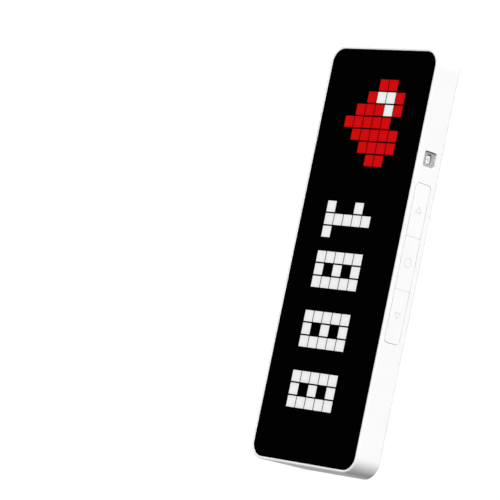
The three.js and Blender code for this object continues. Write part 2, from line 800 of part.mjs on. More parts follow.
function ventCutters() {
  const cutters = [];
  for (let i = 0; i < ventCount; i += 1) {
    const low = ventLow + i * ventPitch;
    const [left, right] = [ventMiddleX - ventLength / 2, ventMiddleX + ventLength / 2];
    const outline = roundedOutline(left, right, low, low + ventWidth, ventWidth / 2);
    cutters.push(frontPlate(outline, coverFront - overrun, bodyDepth + overrun));
  }
  return cutters;
}

function soundHoleCutters() {
  const across = [coverFront - overrun, bodyDepth + overrun];
  const cutters = [rodAlongY(soundHoleRadius, buzzerX, buzzerZ, ...across, holeSides)];
  for (let i = 0; i < soundHoleCount; i += 1) {
    const angle = (i / soundHoleCount) * 2 * Math.PI;
    const x = buzzerX + soundHoleRing * Math.cos(angle);
    const z = buzzerZ + soundHoleRing * Math.sin(angle);
    cutters.push(rodAlongY(soundHoleRadius, x, z, ...across, holeSides));
  }
  return cutters;
}

// Middles of the main board's four screws
const mainScrewPlaces = [];
for (const x of [mainBoardLeft + mainBoardScrewInset, mainBoardRight - mainBoardScrewInset]) {
  mainScrewPlaces.push([x, mainBoardLow + mainBoardScrewInset]);
  mainScrewPlaces.push([x, mainBoardHigh - mainBoardScrewInset]);
}

const coverScrewPlaces = bothSides.flatMap((side) => [
  [side * coverScrewX, coverScrewLow],
  [side * coverScrewX, coverScrewHigh],
]);

// Countersunk hole for a screw that comes in from the back
function countersink([x, z]) {
  const shank = screwShankRadius + holeClearance;
  const head = screwHeadRadius + holeClearance;
  const profile = [
    [0, -coverThickness - overrun],
    [shank, -coverThickness - overrun],
    [shank, -screwHeadHeight],
    [head, -seatGap],
    [head, overrun],
    [0, overrun],
  ];
  return turned(profile, screwSides).rotateX(-Math.PI / 2).translate(x, bodyDepth, z);
}

function rearCoverGeometry() {
  const outline = coverOutline(coverClearance, coverCorner - coverClearance);
  const sheet = frontPlate(outline, coverFront, bodyDepth);
  const pilot = screwShankRadius + holeClearance;
  const standoffs = mainScrewPlaces.map(([x, z]) =>
    rodAlongY(standoffRadius, x, z, mainBoardBack, coverFront + coverThickness / 2, roundSides / 2));
  const pilots = mainScrewPlaces.map(([x, z]) =>
    rodAlongY(pilot, x, z, mainBoardBack - overrun, coverFront, holeSides));
  const solid = join(sheet, ...standoffs);
  const openings = [portCutter(), ...ventCutters(), ...soundHoleCutters()];
  return cut(solid, ...pilots, ...openings, ...coverScrewPlaces.map(countersink));
}

// Screw with the middle of its head's top as origin and its shank pointing down
function screwGeometry(length, flatHead, sides) {
  const underHead = flatHead ? screwShankRadius : screwHeadRadius;
  const profile = [
    [0, -length],
    [screwShankRadius - screwTaper / 2, -length],
    [screwShankRadius, -length + screwTaper],
    [screwShankRadius, -screwHeadHeight],
    ...(flatHead ? [] : [[underHead, -screwHeadHeight]]),
    [screwHeadRadius, flatHead ? -seatGap : -screwTaper],
    [flatHead ? screwHeadRadius : screwHeadRadius - screwTaper / 2, 0],
    [0, 0],
  ];
  const half = recessWidth / 2;
  const depth = [-recessDepth, overrun];
  const arms = [
    block([-recessLength / 2, recessLength / 2], [-half, half], depth),
    block([-half, half], [-recessLength / 2, recessLength / 2], depth),
  ];
  return cut(turned(profile, sides), join(...arms));
}

function mainBoardGeometry() {
  const span = [mainBoardLeft, mainBoardRight, mainBoardLow, mainBoardHigh];
  const outline = roundedOutline(...span, mainBoardCorner);
  const radius = screwShankRadius + holeClearance;
  const across = [mainBoardFront - overrun, mainBoardBack + overrun];
  const holes = mainScrewPlaces.map(([x, z]) => rodAlongY(radius, x, z, ...across, holeSides));
  return cut(frontPlate(outline, mainBoardFront, mainBoardFront + mainBoardThickness), ...holes);
}

// Pieces on the main board have the middle of their seat as origin and stand up along +Z
function moduleGeometry() {
  const halfLength = moduleLength / 2;
  const halfWidth = moduleWidth / 2;
  const base = block([-halfLength, halfLength], [-halfWidth, halfWidth], [0, moduleBoard]);
  const inset = moduleShieldInset;
  const shieldSide = [-halfLength + inset, halfLength - moduleAntenna];
  const top = moduleBoard + moduleShield;
  return join(base, block(shieldSide, [-halfWidth + inset, halfWidth - inset], [moduleBoard / 2, top]));
}

function buzzerGeometry() {
  const can = rodAlongZ(buzzerRadius, 0, 0, 0, buzzerHeight, roundSides);
  const low = buzzerHeight - buzzerHoleDepth;
  return cut(can, rodAlongZ(buzzerHoleRadius, 0, 0, low, buzzerHeight + overrun, holeSides));
}

function humidityGeometry() {
  const half = humiditySize / 2;
  const side = [-half, half];
  const windowSide = [-humidityWindow / 2, humidityWindow / 2];
  const chip = block(side, side, [0, humidityHeight]);
  return cut(chip, block(windowSide, windowSide, [humidityHeight / 2, humidityHeight + overrun]));
}

function backupCellGeometry() {
  const bevel = backupThickness / 6;
  const profile = [
    [0, 0],
    [backupRadius - bevel, 0],
    [backupRadius - bevel, bevel],
    [backupRadius, 2 * bevel],
    [backupRadius, backupThickness],
    [0, backupThickness],
  ];
  return turned(profile, roundSides);
}

function backupHolderGeometry() {
  const height = backupFloor + seatGap + backupThickness / 2;
  const cup = rodAlongZ(backupOuter, 0, 0, 0, height, roundSides);
  return cut(cup, rodAlongZ(backupRadius + seatGap, 0, 0, backupFloor, height + overrun, roundSides));
}

function connectorGeometry() {
  const halfLength = connectorLength / 2;
  const halfWidth = connectorWidth / 2;
  const shell = block([-halfLength, halfLength], [-halfWidth, halfWidth], [0, connectorHeight]);
  const side = [-halfLength + connectorWall, halfLength - connectorWall];
  const across = [-halfWidth + connectorWall, halfWidth - connectorWall];
  return cut(shell, block(side, across, [connectorHeight / 2, connectorHeight + overrun]));
}

// Charging socket: a flat oval metal mouth with a tongue in it, standing on the main board
function socketGeometry() {
  const height = bodyDepth - socketRecess - componentBackSeat;
  const oval = (inset) => {
    const halfLength = socketLength / 2 - inset;
    const halfHeight = socketHeight / 2 - inset;
    return roundedOutline(-halfLength, halfLength, -halfHeight, halfHeight, halfHeight - skinGap);
  };
  const mouth = levelPlate(oval(socketWall), socketBack, height + overrun);
  const shell = cut(levelPlate(oval(0), 0, height), mouth);
  const half = socketTongueLength / 2;
  const tongueSpan = [socketBack / 2, height - socketTongueRecess];
  return join(shell, block([-half, half], [-socketTongue / 2, socketTongue / 2], tongueSpan));
}

// Round cells, lying along X with their tips to the right
function cellGeometry() {
  const profile = [
    [0, 0],
    [cellRadius - cellBevel, 0],
    [cellRadius, cellBevel],
    [cellRadius, cellLength - cellBevel],
    [cellRadius - cellBevel, cellLength],
    [cellTipRadius, cellLength],
    [cellTipRadius, cellLength + cellTipLength],
    [0, cellLength + cellTipLength],
  ];
  return turned(profile, roundSides).rotateY(Math.PI / 2);
}

function holderGeometry() {
  const halfHeight = cellPitch + cellGap / 2 + holderWall;
  const back = coverFront - seatGap;
  const span = [rearMiddle - halfHeight, rearMiddle + halfHeight];
  const tray = block([holderLeft, holderRight], [back - holderEndHeight, back], span);
  const inside = [holderLeft + holderWall, holderRight - holderWall];
  const room = [rearMiddle - halfHeight + holderWall, rearMiddle + halfHeight - holderWall];
  const space = block(inside, [back - holderEndHeight - overrun, back - holderBase], room);
  const sideCut = [back - holderEndHeight - overrun, back - holderSideHeight];
  const lowered = block(inside, sideCut, [span[0] - overrun, span[1] + overrun]);
  return cut(tray, space, lowered);
}

function footGeometry() {
  const profile = [
    [0, 0],
    [footRadius - footEdge, 0],
    [footRadius, footEdge],
    [footRadius, footThickness],
    [0, footThickness],
  ];
  return turned(profile, roundSides);
}

// A lead with a round or flat section along a smooth curve through the given points
function leadGeometry(points, section) {
  const path = new THREE.CatmullRomCurve3(points.map(([x, y, z]) => new THREE.Vector3(x, y, z)));
  const curveSegments = leadSides / 2;
  const options = { steps: leadSteps, bevelEnabled: false, extrudePath: path, curveSegments };
  return new THREE.ExtrudeGeometry(section, options);
}

// Assembly: lengths along Y count from the front face, heights from the underside
const clock = new THREE.Group();
clock.position.set(0, -bodyDepth / 2, footStand);

function place(name, geometry, material, [x, y, z] = [0, 0, 0], turn = 0) {
  const piece = new THREE.Mesh(geometry, material);
  piece.name = name;
  piece.position.set(x, y, z);
  piece.rotation.x = turn;
  clock.add(piece);
}

// Quarter turns that send a piece's up direction to the back, to the front or down
const faceBack = -Math.PI / 2;
const faceFront = Math.PI / 2;
const faceDown = Math.PI;

function addCasing() {
  place('housing', housingGeometry(), whitePlastic);
  place('rear_cover', rearCoverGeometry(), whitePlastic);
  coverScrewPlaces.forEach(([x, z], i) => {
    const spot = [x, bodyDepth - seatGap, z];
    const screw = screwGeometry(screwLength, true, screwSides);
    place(`rear_cover_screw_${i + 1}`, screw, screwSteel, spot, faceBack);
  });
  feet.forEach(([x, y, side]) => place(`foot_${side}`, footGeometry(), footRubber, [x, y, -footStand]));
}

function addDisplay() {
  place('display_window', windowGeometry(), blackWindow);
  place('window_tape', tapeGeometry(), tapeFilm);
  place('diffuser_sheet', diffuserGeometry(), diffuserFilm);
  place('light_grid', gridGeometry(), blackPlastic);
  place('led_board', ledBoardGeometry(), boardLaminate);
  const headTop = ledBoardFront - seatGap - screwHeadHeight;
  bothSides.forEach((side, i) => {
    [screwLow, screwHigh].forEach((z, j) => {
      const screw = screwGeometry(screwLength, false, innerScrewSides);
      place(`led_board_screw_${2 * i + j + 1}`, screw, screwSteel, [side * screwX, headTop, z], faceFront);
    });
  });
}

function addKeys() {
  place('key_board', keyBoardGeometry(), boardLaminate);
  const marks = { left: arrowMark(-1), middle: powerMark(), right: arrowMark(1) };
  Object.entries(marks).forEach(([side, mark], i) => {
    const order = i - (keyCount - 1) / 2;
    const x = order * keyPitch;
    place(`key_${side}`, keyGeometry(order, mark), whitePlastic, [x, keyLineDepth, bodyHeight]);
    place(`switch_body_${side}`, switchGeometry(), blackPlastic, [x, keyLineDepth, keyBoardTop + seatGap]);
    place(`switch_plunger_${side}`, plungerGeometry(), greyPlastic, [x, keyLineDepth, plungerTop]);
  });
  bothSides.forEach((side) => {
    const name = side < 0 ? 'key_board_screw_left' : 'key_board_screw_right';
    const headTop = keyBoardBottom - seatGap - screwHeadHeight;
    const spot = [side * keyBoardScrewX, keyBoardScrewDepth, headTop];
    const screw = screwGeometry(keyBoardScrewLength + screwHeadHeight, false, innerScrewSides);
    place(name, screw, screwSteel, spot, faceDown);
  });
  place('sensor_bezel', bezelGeometry(), greyPlastic);
  const sensorSeat = [sensorCentreX, sensorDepth, keyBoardTop + seatGap];
  place('light_sensor', lightSensorGeometry(), sensorResin, sensorSeat);
}

function addElectronics() {
  place('main_board', mainBoardGeometry(), boardLaminate);
  mainScrewPlaces.forEach(([x, z], i) => {
    const spot = [x, mainBoardFront - seatGap - screwHeadHeight, z];
    const screw = screwGeometry(mainScrewLength + screwHeadHeight, false, innerScrewSides);
    place(`main_board_screw_${i + 1}`, screw, screwSteel, spot, faceFront);
  });
  const onBack = (name, geometry, material, x, z, lift = 0) => {
    place(name, geometry, material, [x, componentBackSeat + lift, z], faceBack);
  };
  const moduleSeat = [moduleX, componentFrontSeat, moduleZ];
  place('wireless_module', moduleGeometry(), shieldSteel, moduleSeat, faceFront);
  onBack('buzzer', buzzerGeometry(), blackPlastic, buzzerX, buzzerZ);
  const ventMiddleZ = ventLow + (ventPitch * ventCount) / 2;
  onBack('humidity_sensor', humidityGeometry(), blackPlastic, ventMiddleX, ventMiddleZ);
  onBack('backup_cell_holder', backupHolderGeometry(), blackPlastic, backupX, backupZ);
  onBack('backup_cell', backupCellGeometry(), shieldSteel, backupX, backupZ, backupFloor + seatGap);
  onBack('usb_socket', socketGeometry(), shieldSteel, socketX, socketZ);
}

function addBattery() {
  place('battery_holder', holderGeometry(), blackPlastic);
  const left = holderLeft + holderWall + holderEndRoom;
  for (const [name, side] of [['battery_cell_lower', -1], ['battery_cell_upper', 1]]) {
    place(name, cellGeometry(), cellWrap, [left, cellMiddleDepth, rearMiddle + (side * cellPitch) / 2]);
  }
}

// Leads run from the floor of one connector to the next piece
function addLeads() {
  const frontSeat = componentFrontSeat;
  const ribbonLow = rearMiddle - ribbonRise / 2;
  const ribbonHigh = rearMiddle + ribbonRise / 2;
  const ledSeat = ledBoardBack + skinGap;
  const keySeat = keyBoardBottom - skinGap;
  const connector = (name, spot, turn) => place(name, connectorGeometry(), connectorPlastic, spot, turn);
  connector('display_connector', [ribbonX, ledSeat, ribbonLow], faceBack);
  connector('board_connector', [ribbonX, frontSeat, ribbonHigh], faceFront);
  connector('battery_connector', [batteryConnectorX, frontSeat, rearMiddle], faceFront);
  connector('key_connector', [keyConnectorX, keyConnectorDepth, keySeat], faceDown);

  const inside = connectorHeight / 2 + leadEndGap;
  const out = connectorHeight + leadRadius;
  const flat = new THREE.Shape();
  flat.moveTo(-ribbonWidth / 2, -ribbonThickness / 2);
  flat.lineTo(ribbonWidth / 2, -ribbonThickness / 2);
  flat.lineTo(ribbonWidth / 2, ribbonThickness / 2);
  flat.lineTo(-ribbonWidth / 2, ribbonThickness / 2);
  const round = new THREE.Shape().absarc(0, 0, leadRadius, 0, 2 * Math.PI);
  const ribbonPath = [
    [ribbonX, ledSeat + inside, ribbonLow],
    [ribbonX, ledSeat + out, ribbonLow],
    [ribbonX, frontSeat - out, ribbonHigh],
    [ribbonX, frontSeat - inside, ribbonHigh],
  ];
  place('display_lead', leadGeometry(ribbonPath, flat), leadJacket);
  const keyPath = [
    [keyConnectorX, keyConnectorDepth, keySeat - inside],
    [keyConnectorX, keyConnectorDepth, keySeat - out - leadRadius],
    [keyConnectorX, keyConnectorDepth - leadRadius, keySeat - out - 4 * leadRadius],
    [keyConnectorX, ledSeat + leadEndGap, keySeat - out - 5 * leadRadius],
  ];
  place('key_lead', leadGeometry(keyPath, round), leadJacket);
  const meet = holderRight + leadEndGap;
  const bendRoom = frontSeat - out - ledBoardBack;
  const [firstBend, fullBend] = leadBendShares.map((share) => frontSeat - out - bendRoom * share);
  const batteryPath = [
    [batteryConnectorX, frontSeat - inside, rearMiddle],
    [batteryConnectorX, firstBend, rearMiddle],
    [batteryConnectorX - 3 * leadRadius, fullBend, rearMiddle],
    [meet + 4 * leadRadius, frontSeat - out, rearMiddle],
    [meet + leadRadius, frontSeat - 2 * leadRadius, rearMiddle],
    [meet, frontSeat - 2 * leadRadius, rearMiddle],
  ];
  place('battery_lead', leadGeometry(batteryPath, round), leadJacket);
}

addCasing();
addDisplay();
addKeys();
addElectronics();
addBattery();
addLeads();

export default clock;
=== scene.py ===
"""Looks of a smart pixel clock: a long low white box with a black pixel display in front."""

import math

import bmesh
import bpy
from mathutils import Matrix, Vector


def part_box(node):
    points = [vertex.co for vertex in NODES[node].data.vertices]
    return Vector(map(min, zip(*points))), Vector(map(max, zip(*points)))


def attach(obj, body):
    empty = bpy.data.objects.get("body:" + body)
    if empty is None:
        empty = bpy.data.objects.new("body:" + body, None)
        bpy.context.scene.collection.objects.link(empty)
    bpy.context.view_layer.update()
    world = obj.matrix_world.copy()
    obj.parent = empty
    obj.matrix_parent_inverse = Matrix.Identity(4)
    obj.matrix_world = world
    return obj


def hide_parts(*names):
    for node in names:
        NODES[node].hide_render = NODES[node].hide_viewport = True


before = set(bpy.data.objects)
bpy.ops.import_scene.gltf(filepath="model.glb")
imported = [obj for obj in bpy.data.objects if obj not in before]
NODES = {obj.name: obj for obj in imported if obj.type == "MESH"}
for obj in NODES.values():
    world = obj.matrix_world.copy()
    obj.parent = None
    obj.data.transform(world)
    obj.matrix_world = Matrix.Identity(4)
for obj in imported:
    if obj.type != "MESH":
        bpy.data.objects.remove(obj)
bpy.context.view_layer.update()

# Lengths are in millimetres until a mesh is made.
# Depths count from the front face and heights from the underside.
MM = 0.001
case_low, case_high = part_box("housing")
FRONT = case_low.y
BASE = case_low.z
LENGTH = (case_high.x - case_low.x) / MM
DEPTH = (case_high.y - case_low.y) / MM
HEIGHT = (case_high.z - case_low.z) / MM

# Housing
KEY_FACE = 15.6
SLOPE = math.radians(45)
BACK_HEIGHT = HEIGHT - (DEPTH - KEY_FACE) * math.tan(SLOPE)
WALL = 2.2
RIM = 1.2
LEDGE = 1.4
END_RADIUS = 8.0
FRONT_EDGE = 0.5
SLOPE_EDGE = 1.5
BACK_EDGE = 1.0
RIM_EDGE = 0.2
EDGE_STEPS = 8
BACK_STEPS = 12
BACK_FRAME = 3.6
POST = 9.0
TOP_POST_LENGTH = 8.4
# The posts are cut to the casing's inside from this depth to the back
POST_ROOM_FRONT = 6.0
BOSS_RADIUS = 2.3
# Radii of the recesses for the feet, and their heights
FOOT_RECESS = [(5.45, -1.0), (5.35, 0.0), (5.15, 0.2)]

# Clearances, overruns, least corner radius and the angle from which an edge is drawn sharp
SKIN = 0.1
OVER = 1.0
HAIR = 0.001
LEAST_RADIUS = 0.01
SHARP_ANGLE = math.radians(35)

# Screws and their holes
HOLE_RADIUS = 1.3
BOARD_HOLE_DEPTH = 9.4
KEY_BOARD_HOLE_DEPTH = 3.95
COVER_HOLE_END = 0.5
SHANK_RADIUS = 1.15
SHANK_TIP_RADIUS = 0.85
SHANK_TAPER = 0.6
HEAD_HEIGHT = 1.5
HEAD_BEVEL = (0.08, 0.12)
SINK_RADIUS = 2.25
SINK_MOUTH_RADIUS = 2.4
CROSS_ARMS = ((1.15, 0.3), (0.3, 1.15))
# Share of the arm's width, corner and place against the head's top
CROSS_ENDS = ((0.6, 0.05, -0.9), (1.0, 0.08, 0.3))

# Display
WINDOW_CLEARANCE = 0.12
WINDOW_EDGE = 0.25
WEB = 0.7
COLUMNS = 32
ROWS = 8
DIODE_MARGIN = 0.02
TILE_GAP_X = 0.75
TILE_GAP_Z = 0.46
TILE_CORNER = 0.15
TILE_PROUD = 0.015
TILE_BACK = 0.1
LIT_RED = ((1.0, 0.001, 0.003), 0.64)
LIT_WHITE = ((1.0, 1.0, 1.0), 0.875)

# Keys
KEY_OPENING = (2.2, 12.4)
KEY_OPENING_EDGE = 0.1
KEY_CORNER = 1.9
KEY_INNER_CORNER = 0.4
KEY_EDGE = 0.08
# The caps reach this far past their nodes toward each other
KEY_LAP = 0.045
# Gap between the caps and the opening's front and rear edge
KEY_SLOT = 0.24
# Overlap of a cap with its wings
KEY_BITE = 0.2
KEY_WING_HEIGHT = 1.0
KEY_WING_CORNER = 0.1
KEY_STEM_RADIUS = 1.6
RING_MARK = 4.9
RING_MARK_GAP = math.radians(27)
ARROW_MARK_HEIGHT = 4.2
ARROW_MARK_LENGTH = 3.25
MARK_WIDTH = 0.45
MARK_END_STEPS = 8
# The marks stand a little to the left of their keys' middle
MARK_SHIFT = -0.4
# Depths of the engraving and of the grey fill in it, which is painted shade of the grooves
MARK_DEPTH = 0.16
SHADE_FILL_BOTTOM = 0.18
SHADE_FILL_TOP = 0.03

# Light sensor
SENSOR_LENGTH = 7.3
SENSOR_WIDTH = 7.9
SENSOR_CORNER = 1.0
SENSOR_OPENING_EDGE = 0.12
SENSOR_CLEARANCE = 0.1
SENSOR_EDGE = 0.2
SENSOR_CHIP = (0.5, 0.85)
LENS_LENGTH = 4.2
LENS_WIDTH = 3.3
LENS_CORNER = 1.2
LENS_BACK = 0.3
LENS_CLEARANCE = 0.25
LENS_FLARE = 0.2
LENS_FOOT_HEIGHT = 1.6
LENS_FOOT_CORNER = 0.2
LENS_ROUND = 0.6
LENS_SHOULDER = 0.2
# Insets from the lens's outline and drops below its top
LENS_DOME = [(0.9, 0.12), (1.2, 0.06), (1.5, 0.02), (1.8, 0)]

# Rear cover
COVER = 2.0
COVER_INSET = 4.0
COVER_LEDGE = 1.5
COVER_CORNER = 5.0
COVER_CLEARANCE = 0.15
COVER_EDGE = 0.25
STANDOFF_RADIUS = 2.6
PORT_CLEARANCE = 0.6
VENT_LENGTH = 14.0
VENT_WIDTH = 1.2
VENT_PITCH = 3.2
VENT_TOP_MARGIN = 6.0
SOUND_RADIUS = 0.8
SOUND_RING = 3.2
SOUND_HOLES = 6

# Charging socket
SOCKET_LIP = 0.08
SOCKET_WALL = 0.3
SOCKET_BACK = 1.0
SOCKET_SLIT = 0.05
TONGUE_WIDTH = 6.69
TONGUE_HEIGHT = 0.7
TONGUE_RECESS = 0.7
TONGUE_CORNER = 0.15
TONGUE_BEVEL = (0.15, 0.2)
CONTACT_COUNT = 12
CONTACT_PITCH = 0.5
CONTACT_WIDTH = 0.26
CONTACT_DEPTH = 5.0
CONTACT_RECESS = 0.4
CONTACT_CORNER = 0.02
# Heights of a contact's two faces over the tongue's middle
CONTACT_FACES = (0.34, 0.37)

# Feet
FEET = ["foot_front_left", "foot_front_right", "foot_rear_left", "foot_rear_right"]
FOOT_EDGE = 0.25

# Studio, with places and reaches in metres
FLOOR_HALF = 6.0
# The floor's glow is painted light: brightest over a patch round the clock, where it hides the clock's
# shadow, and dimmer beyond
PAINTED_POOL_REACH = (0.15, 0.22)
PAINTED_POOL_EDGE = 0.18
PAINTED_POOL_GLOW = 0.97
PAINTED_FLOOR_GLOW = 0.36
SKY_WAY = Vector((-0.5, -0.38, 0.78)).normalized()
SKY_EDGE = 0.74
SKY_LOW = 0.07
SKY_HIGH = 7.25
CAMERA_PLACE = Vector((0.147840, -1.043704, 1.086667))
CAMERA_AIM = Vector((-0.003230, 0.022343, -0.069673))
CAMERA_UP = Vector((-0.974274, -0.214168, -0.070162))
CAMERA_LENS = 227.45


def span(node):
    """A node's box: left and right, near and far, low and high."""
    low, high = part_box(node)
    across = (low.x / MM, high.x / MM)
    deep = ((low.y - FRONT) / MM, (high.y - FRONT) / MM)
    tall = ((low.z - BASE) / MM, (high.z - BASE) / MM)
    return across, deep, tall


def middle(pair):
    return sum(pair) / 2


GROOVE = span("key_middle")[0][0] - span("key_left")[0][1]

# Outlines and rings


def rounded(left, right, low, high, radii, steps=16):
    """Points round a rectangle, from its low right corner, counter-clockwise."""
    radii = list(radii) if hasattr(radii, "__len__") else [radii] * 4
    radii = [max(r, LEAST_RADIUS) for r in radii]
    corners = [
        (right - radii[0], low + radii[0], -90),
        (right - radii[1], high - radii[1], 0),
        (left + radii[2], high - radii[2], 90),
        (left + radii[3], low + radii[3], 180),
    ]
    points = []
    for (a, b, start), radius in zip(corners, radii):
        for i in range(steps + 1):
            angle = math.radians(start + 90 * i / steps)
            points.append((a + radius * math.cos(angle), b + radius * math.sin(angle)))
    return points


def shrunk(across, upward, inset, radii, steps=16):
    """Rounded rectangle over two spans, smaller by an inset all round."""
    left, right = across[0] + inset, across[1] - inset
    return rounded(left, right, upward[0] + inset, upward[1] - inset, radii, steps)


def circle(a, b, radius, sides=48):
    angles = [2 * math.pi * i / sides for i in range(sides)]
    return [(a + radius * math.cos(t), b + radius * math.sin(t)) for t in angles]


def sweep(centre, radius, first, last, steps, skip=0):
    """Points on an arc from one angle to another, without those to skip at both ends."""
    points = []
    for i in range(skip, steps + 1 - skip):
        angle = first + (last - first) * i / steps
        points.append((centre[0] + radius * math.cos(angle), centre[1] + radius * math.sin(angle)))
    return points


def arc(start, end, centre, steps=5):
    """Quarter turn from start to end about centre."""
    points = []
    for i in range(steps + 1):
        angle = math.pi / 2 * i / steps
        c, s = math.cos(angle), math.sin(angle)
        points.append(tuple(m + (p - m) * c + (q - m) * s for p, q, m in zip(start, end, centre)))
    return points


def round_over(top, edge):
    """Insets and places of an edge that is rounded over toward its top."""
    return arc((0, top - edge), (edge, top), (edge, top - edge))


def upright(points, depth):
    return [(a, depth, b) for a, b in points]


def level(points, height):
    return [(a, b, height) for a, b in points]


def loft(rings, loop=False):
    """Skin over rings: closed by end faces, or back to the first ring."""
    count = len(rings[0])
    points = [p for ring in rings for p in ring]
    faces = []
    total = len(rings)
    for r in range(total if loop else total - 1):
        here, there = r * count, ((r + 1) % total) * count
        for i in range(count):
            j = (i + 1) % count
            faces.append((here + i, here + j, there + j, there + i))
    if not loop:
        faces.append(tuple(range(count)))
        faces.append(tuple(reversed(range((total - 1) * count, total * count))))
    return points, faces


def together(shapes):
    points, faces = [], []
    for p, f in shapes:
        faces += [tuple(i + len(points) for i in face) for face in f]
        points += p
    return points, faces


def slab(left, right, near, far, low, high, corner=LEAST_RADIUS):
    return loft([level(rounded(left, right, near, far, corner, 1), z) for z in (low, high)])


def rod_back(centre, radius, near, far, sides=24):
    """Round rod that runs from front to back."""
    return loft([upright(circle(*centre, radius, sides), depth) for depth in (near, far)])


def rod_up(centre, radius, low, high, sides=24):
    """Round rod that stands up."""
    return loft([level(circle(*centre, radius, sides), height) for height in (low, high)])


# Objects


def make(name, shape):
    points, faces = shape
    data = bpy.data.meshes.new(name)
    data.from_pydata([(x * MM, FRONT + y * MM, BASE + z * MM) for x, y, z in points], [], faces)
    work = bmesh.new()
    work.from_mesh(data)
    bmesh.ops.recalc_face_normals(work, faces=work.faces)
    work.to_mesh(data)
    work.free()
    obj = bpy.data.objects.new(name, data)
    bpy.context.scene.collection.objects.link(obj)
    return obj


def combine(obj, shape, operation):
    """Boolean of obj with a shape, kept in obj's mesh."""
    other = make(obj.name + "_tool", shape)
    change = obj.modifiers.new("combine", "BOOLEAN")
    change.operation = operation
    change.solver = "EXACT"
    change.use_self = True
    change.object = other
    view = bpy.context.evaluated_depsgraph_get()
    data = bpy.data.meshes.new_from_object(obj.evaluated_get(view))
    obj.modifiers.clear()
    obj.data = data
    bpy.data.objects.remove(other)
    return obj


def dress(obj, material, body, slot, *stands_for):
    """Normals, material and body of a finished piece; its slot is not used."""
    obj.data.shade_smooth()
    obj.data.set_sharp_from_angle(angle=SHARP_ANGLE)
    normals = obj.modifiers.new("normals", "WEIGHTED_NORMAL")
    normals.keep_sharp = True
    normals.weight = 100
    obj.data.materials.clear()
    obj.data.materials.append(material)
    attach(obj, body)
    if stands_for:
        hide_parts(*stands_for)


# Materials


class Finish:
    """One node material, with short calls for its nodes."""

    def __init__(self, name, colour, roughness, **inputs):
        self.material = bpy.data.materials.new(name)
        self.material.use_nodes = True
        self.tree = self.material.node_tree
        self.shader = self.tree.nodes["Principled BSDF"]
        self.set(self.shader, "Base Color", (*colour, 1))
        self.set(self.shader, "Roughness", roughness)
        for key, value in inputs.items():
            self.set(self.shader, key.replace("_", " "), value)
        self.colour = colour
        self.roughness = roughness
        self.place = self.tree.nodes.new("ShaderNodeTexCoord").outputs["Object"]

    def set(self, node, name, value):
        node.inputs[name].default_value = value

    def feed(self, socket, value):
        if isinstance(value, bpy.types.NodeSocket):
            self.tree.links.new(value, socket)
        else:
            socket.default_value = value

    def math(self, operation, a, b=0.0, clamp=False):
        node = self.tree.nodes.new("ShaderNodeMath")
        node.operation = operation
        node.use_clamp = clamp
        self.feed(node.inputs[0], a)
        self.feed(node.inputs[1], b)
        return node.outputs[0]

    def axis(self, which):
        node = self.tree.nodes.new("ShaderNodeSeparateXYZ")
        self.tree.links.new(self.place, node.inputs[0])
        return node.outputs[which]

    def from_point(self, which, place):
        return self.math("SUBTRACT", self.axis(which), place)

    def in_cell(self, which, start, step):
        """Place within one cell of a raster, from -0.5 to 0.5."""
        count = self.math("DIVIDE", self.from_point(which, start), step)
        return self.math("SUBTRACT", self.math("FRACT", count), 0.5)

    def distance(self, parts):
        """Length of a flat vector, from its two parts."""
        squares = [self.math("MULTIPLY", part, part) for part in parts]
        return self.math("SQRT", self.math("ADD", *squares))

    def stretched(self, stretch):
        node = self.tree.nodes.new("ShaderNodeMapping")
        self.set(node, "Scale", stretch)
        self.tree.links.new(self.place, node.inputs["Vector"])
        return node.outputs[0]

    def noise(self, scale, detail, stretch=None):
        node = self.tree.nodes.new("ShaderNodeTexNoise")
        self.set(node, "Scale", scale)
        self.set(node, "Detail", detail)
        source = self.stretched(stretch) if stretch else self.place
        self.tree.links.new(source, node.inputs["Vector"])
        return node.outputs[0]

    def spots(self, scale):
        node = self.tree.nodes.new("ShaderNodeTexVoronoi")
        self.set(node, "Scale", scale)
        self.tree.links.new(self.place, node.inputs["Vector"])
        return node.outputs["Distance"]

    def between(self, factor, low, high, start=0.0, end=1.0):
        node = self.tree.nodes.new("ShaderNodeMapRange")
        self.tree.links.new(factor, node.inputs["Value"])
        for name, value in (("From Min", start), ("From Max", end), ("To Min", low), ("To Max", high)):
            self.set(node, name, value)
        return node.outputs[0]

    def mix(self, factor, a, b):
        node = self.tree.nodes.new("ShaderNodeMix")
        node.data_type = "RGBA"
        self.feed(node.inputs["Factor"], factor)
        for socket, value in ((node.inputs[6], a), (node.inputs[7], b)):
            self.feed(socket, value if isinstance(value, bpy.types.NodeSocket) else (*value, 1))
        return node.outputs[2]

    def paint(self, value):
        self.tree.links.new(value, self.shader.inputs["Base Color"])
        return self

    def rough(self, value):
        self.tree.links.new(value, self.shader.inputs["Roughness"])
        return self

    def metal(self, value):
        self.tree.links.new(value, self.shader.inputs["Metallic"])
        return self

    def bump(self, height, distance, strength=1.0):
        """A relief of that depth in millimetres, on top of one made before."""
        node = self.tree.nodes.new("ShaderNodeBump")
        self.set(node, "Distance", distance * MM)
        self.set(node, "Strength", strength)
        self.tree.links.new(height, node.inputs["Height"])
        normal = self.shader.inputs["Normal"]
        if normal.is_linked:
            self.tree.links.new(normal.links[0].from_socket, node.inputs["Normal"])
        self.tree.links.new(node.outputs[0], normal)
        return self

    def tones(self, scale, share, spread=0.05):
        """Soft changes of tone and gloss."""
        cloud = self.noise(scale, 3)
        dark = tuple(c * (1 - share) for c in self.colour)
        light = tuple(min(1, c * (1 + share)) for c in self.colour)
        self.paint(self.mix(self.between(cloud, 0, 1, 0.3, 0.7), dark, light))
        low, high = self.roughness - spread, self.roughness + spread
        return self.rough(self.between(cloud, low, high, 0.3, 0.7))


def moulded(name, colour, roughness, grain=5200, depth=0.006, share=0.012, **inputs):
    """Moulded plastic: spark-eroded grain over faint flow marks."""
    finish = Finish(name, colour, roughness, **inputs).tones(45, share)
    finish.bump(finish.noise(grain, 2), depth)
    finish.bump(finish.noise(160, 1), depth * 2, 0.4)
    return finish


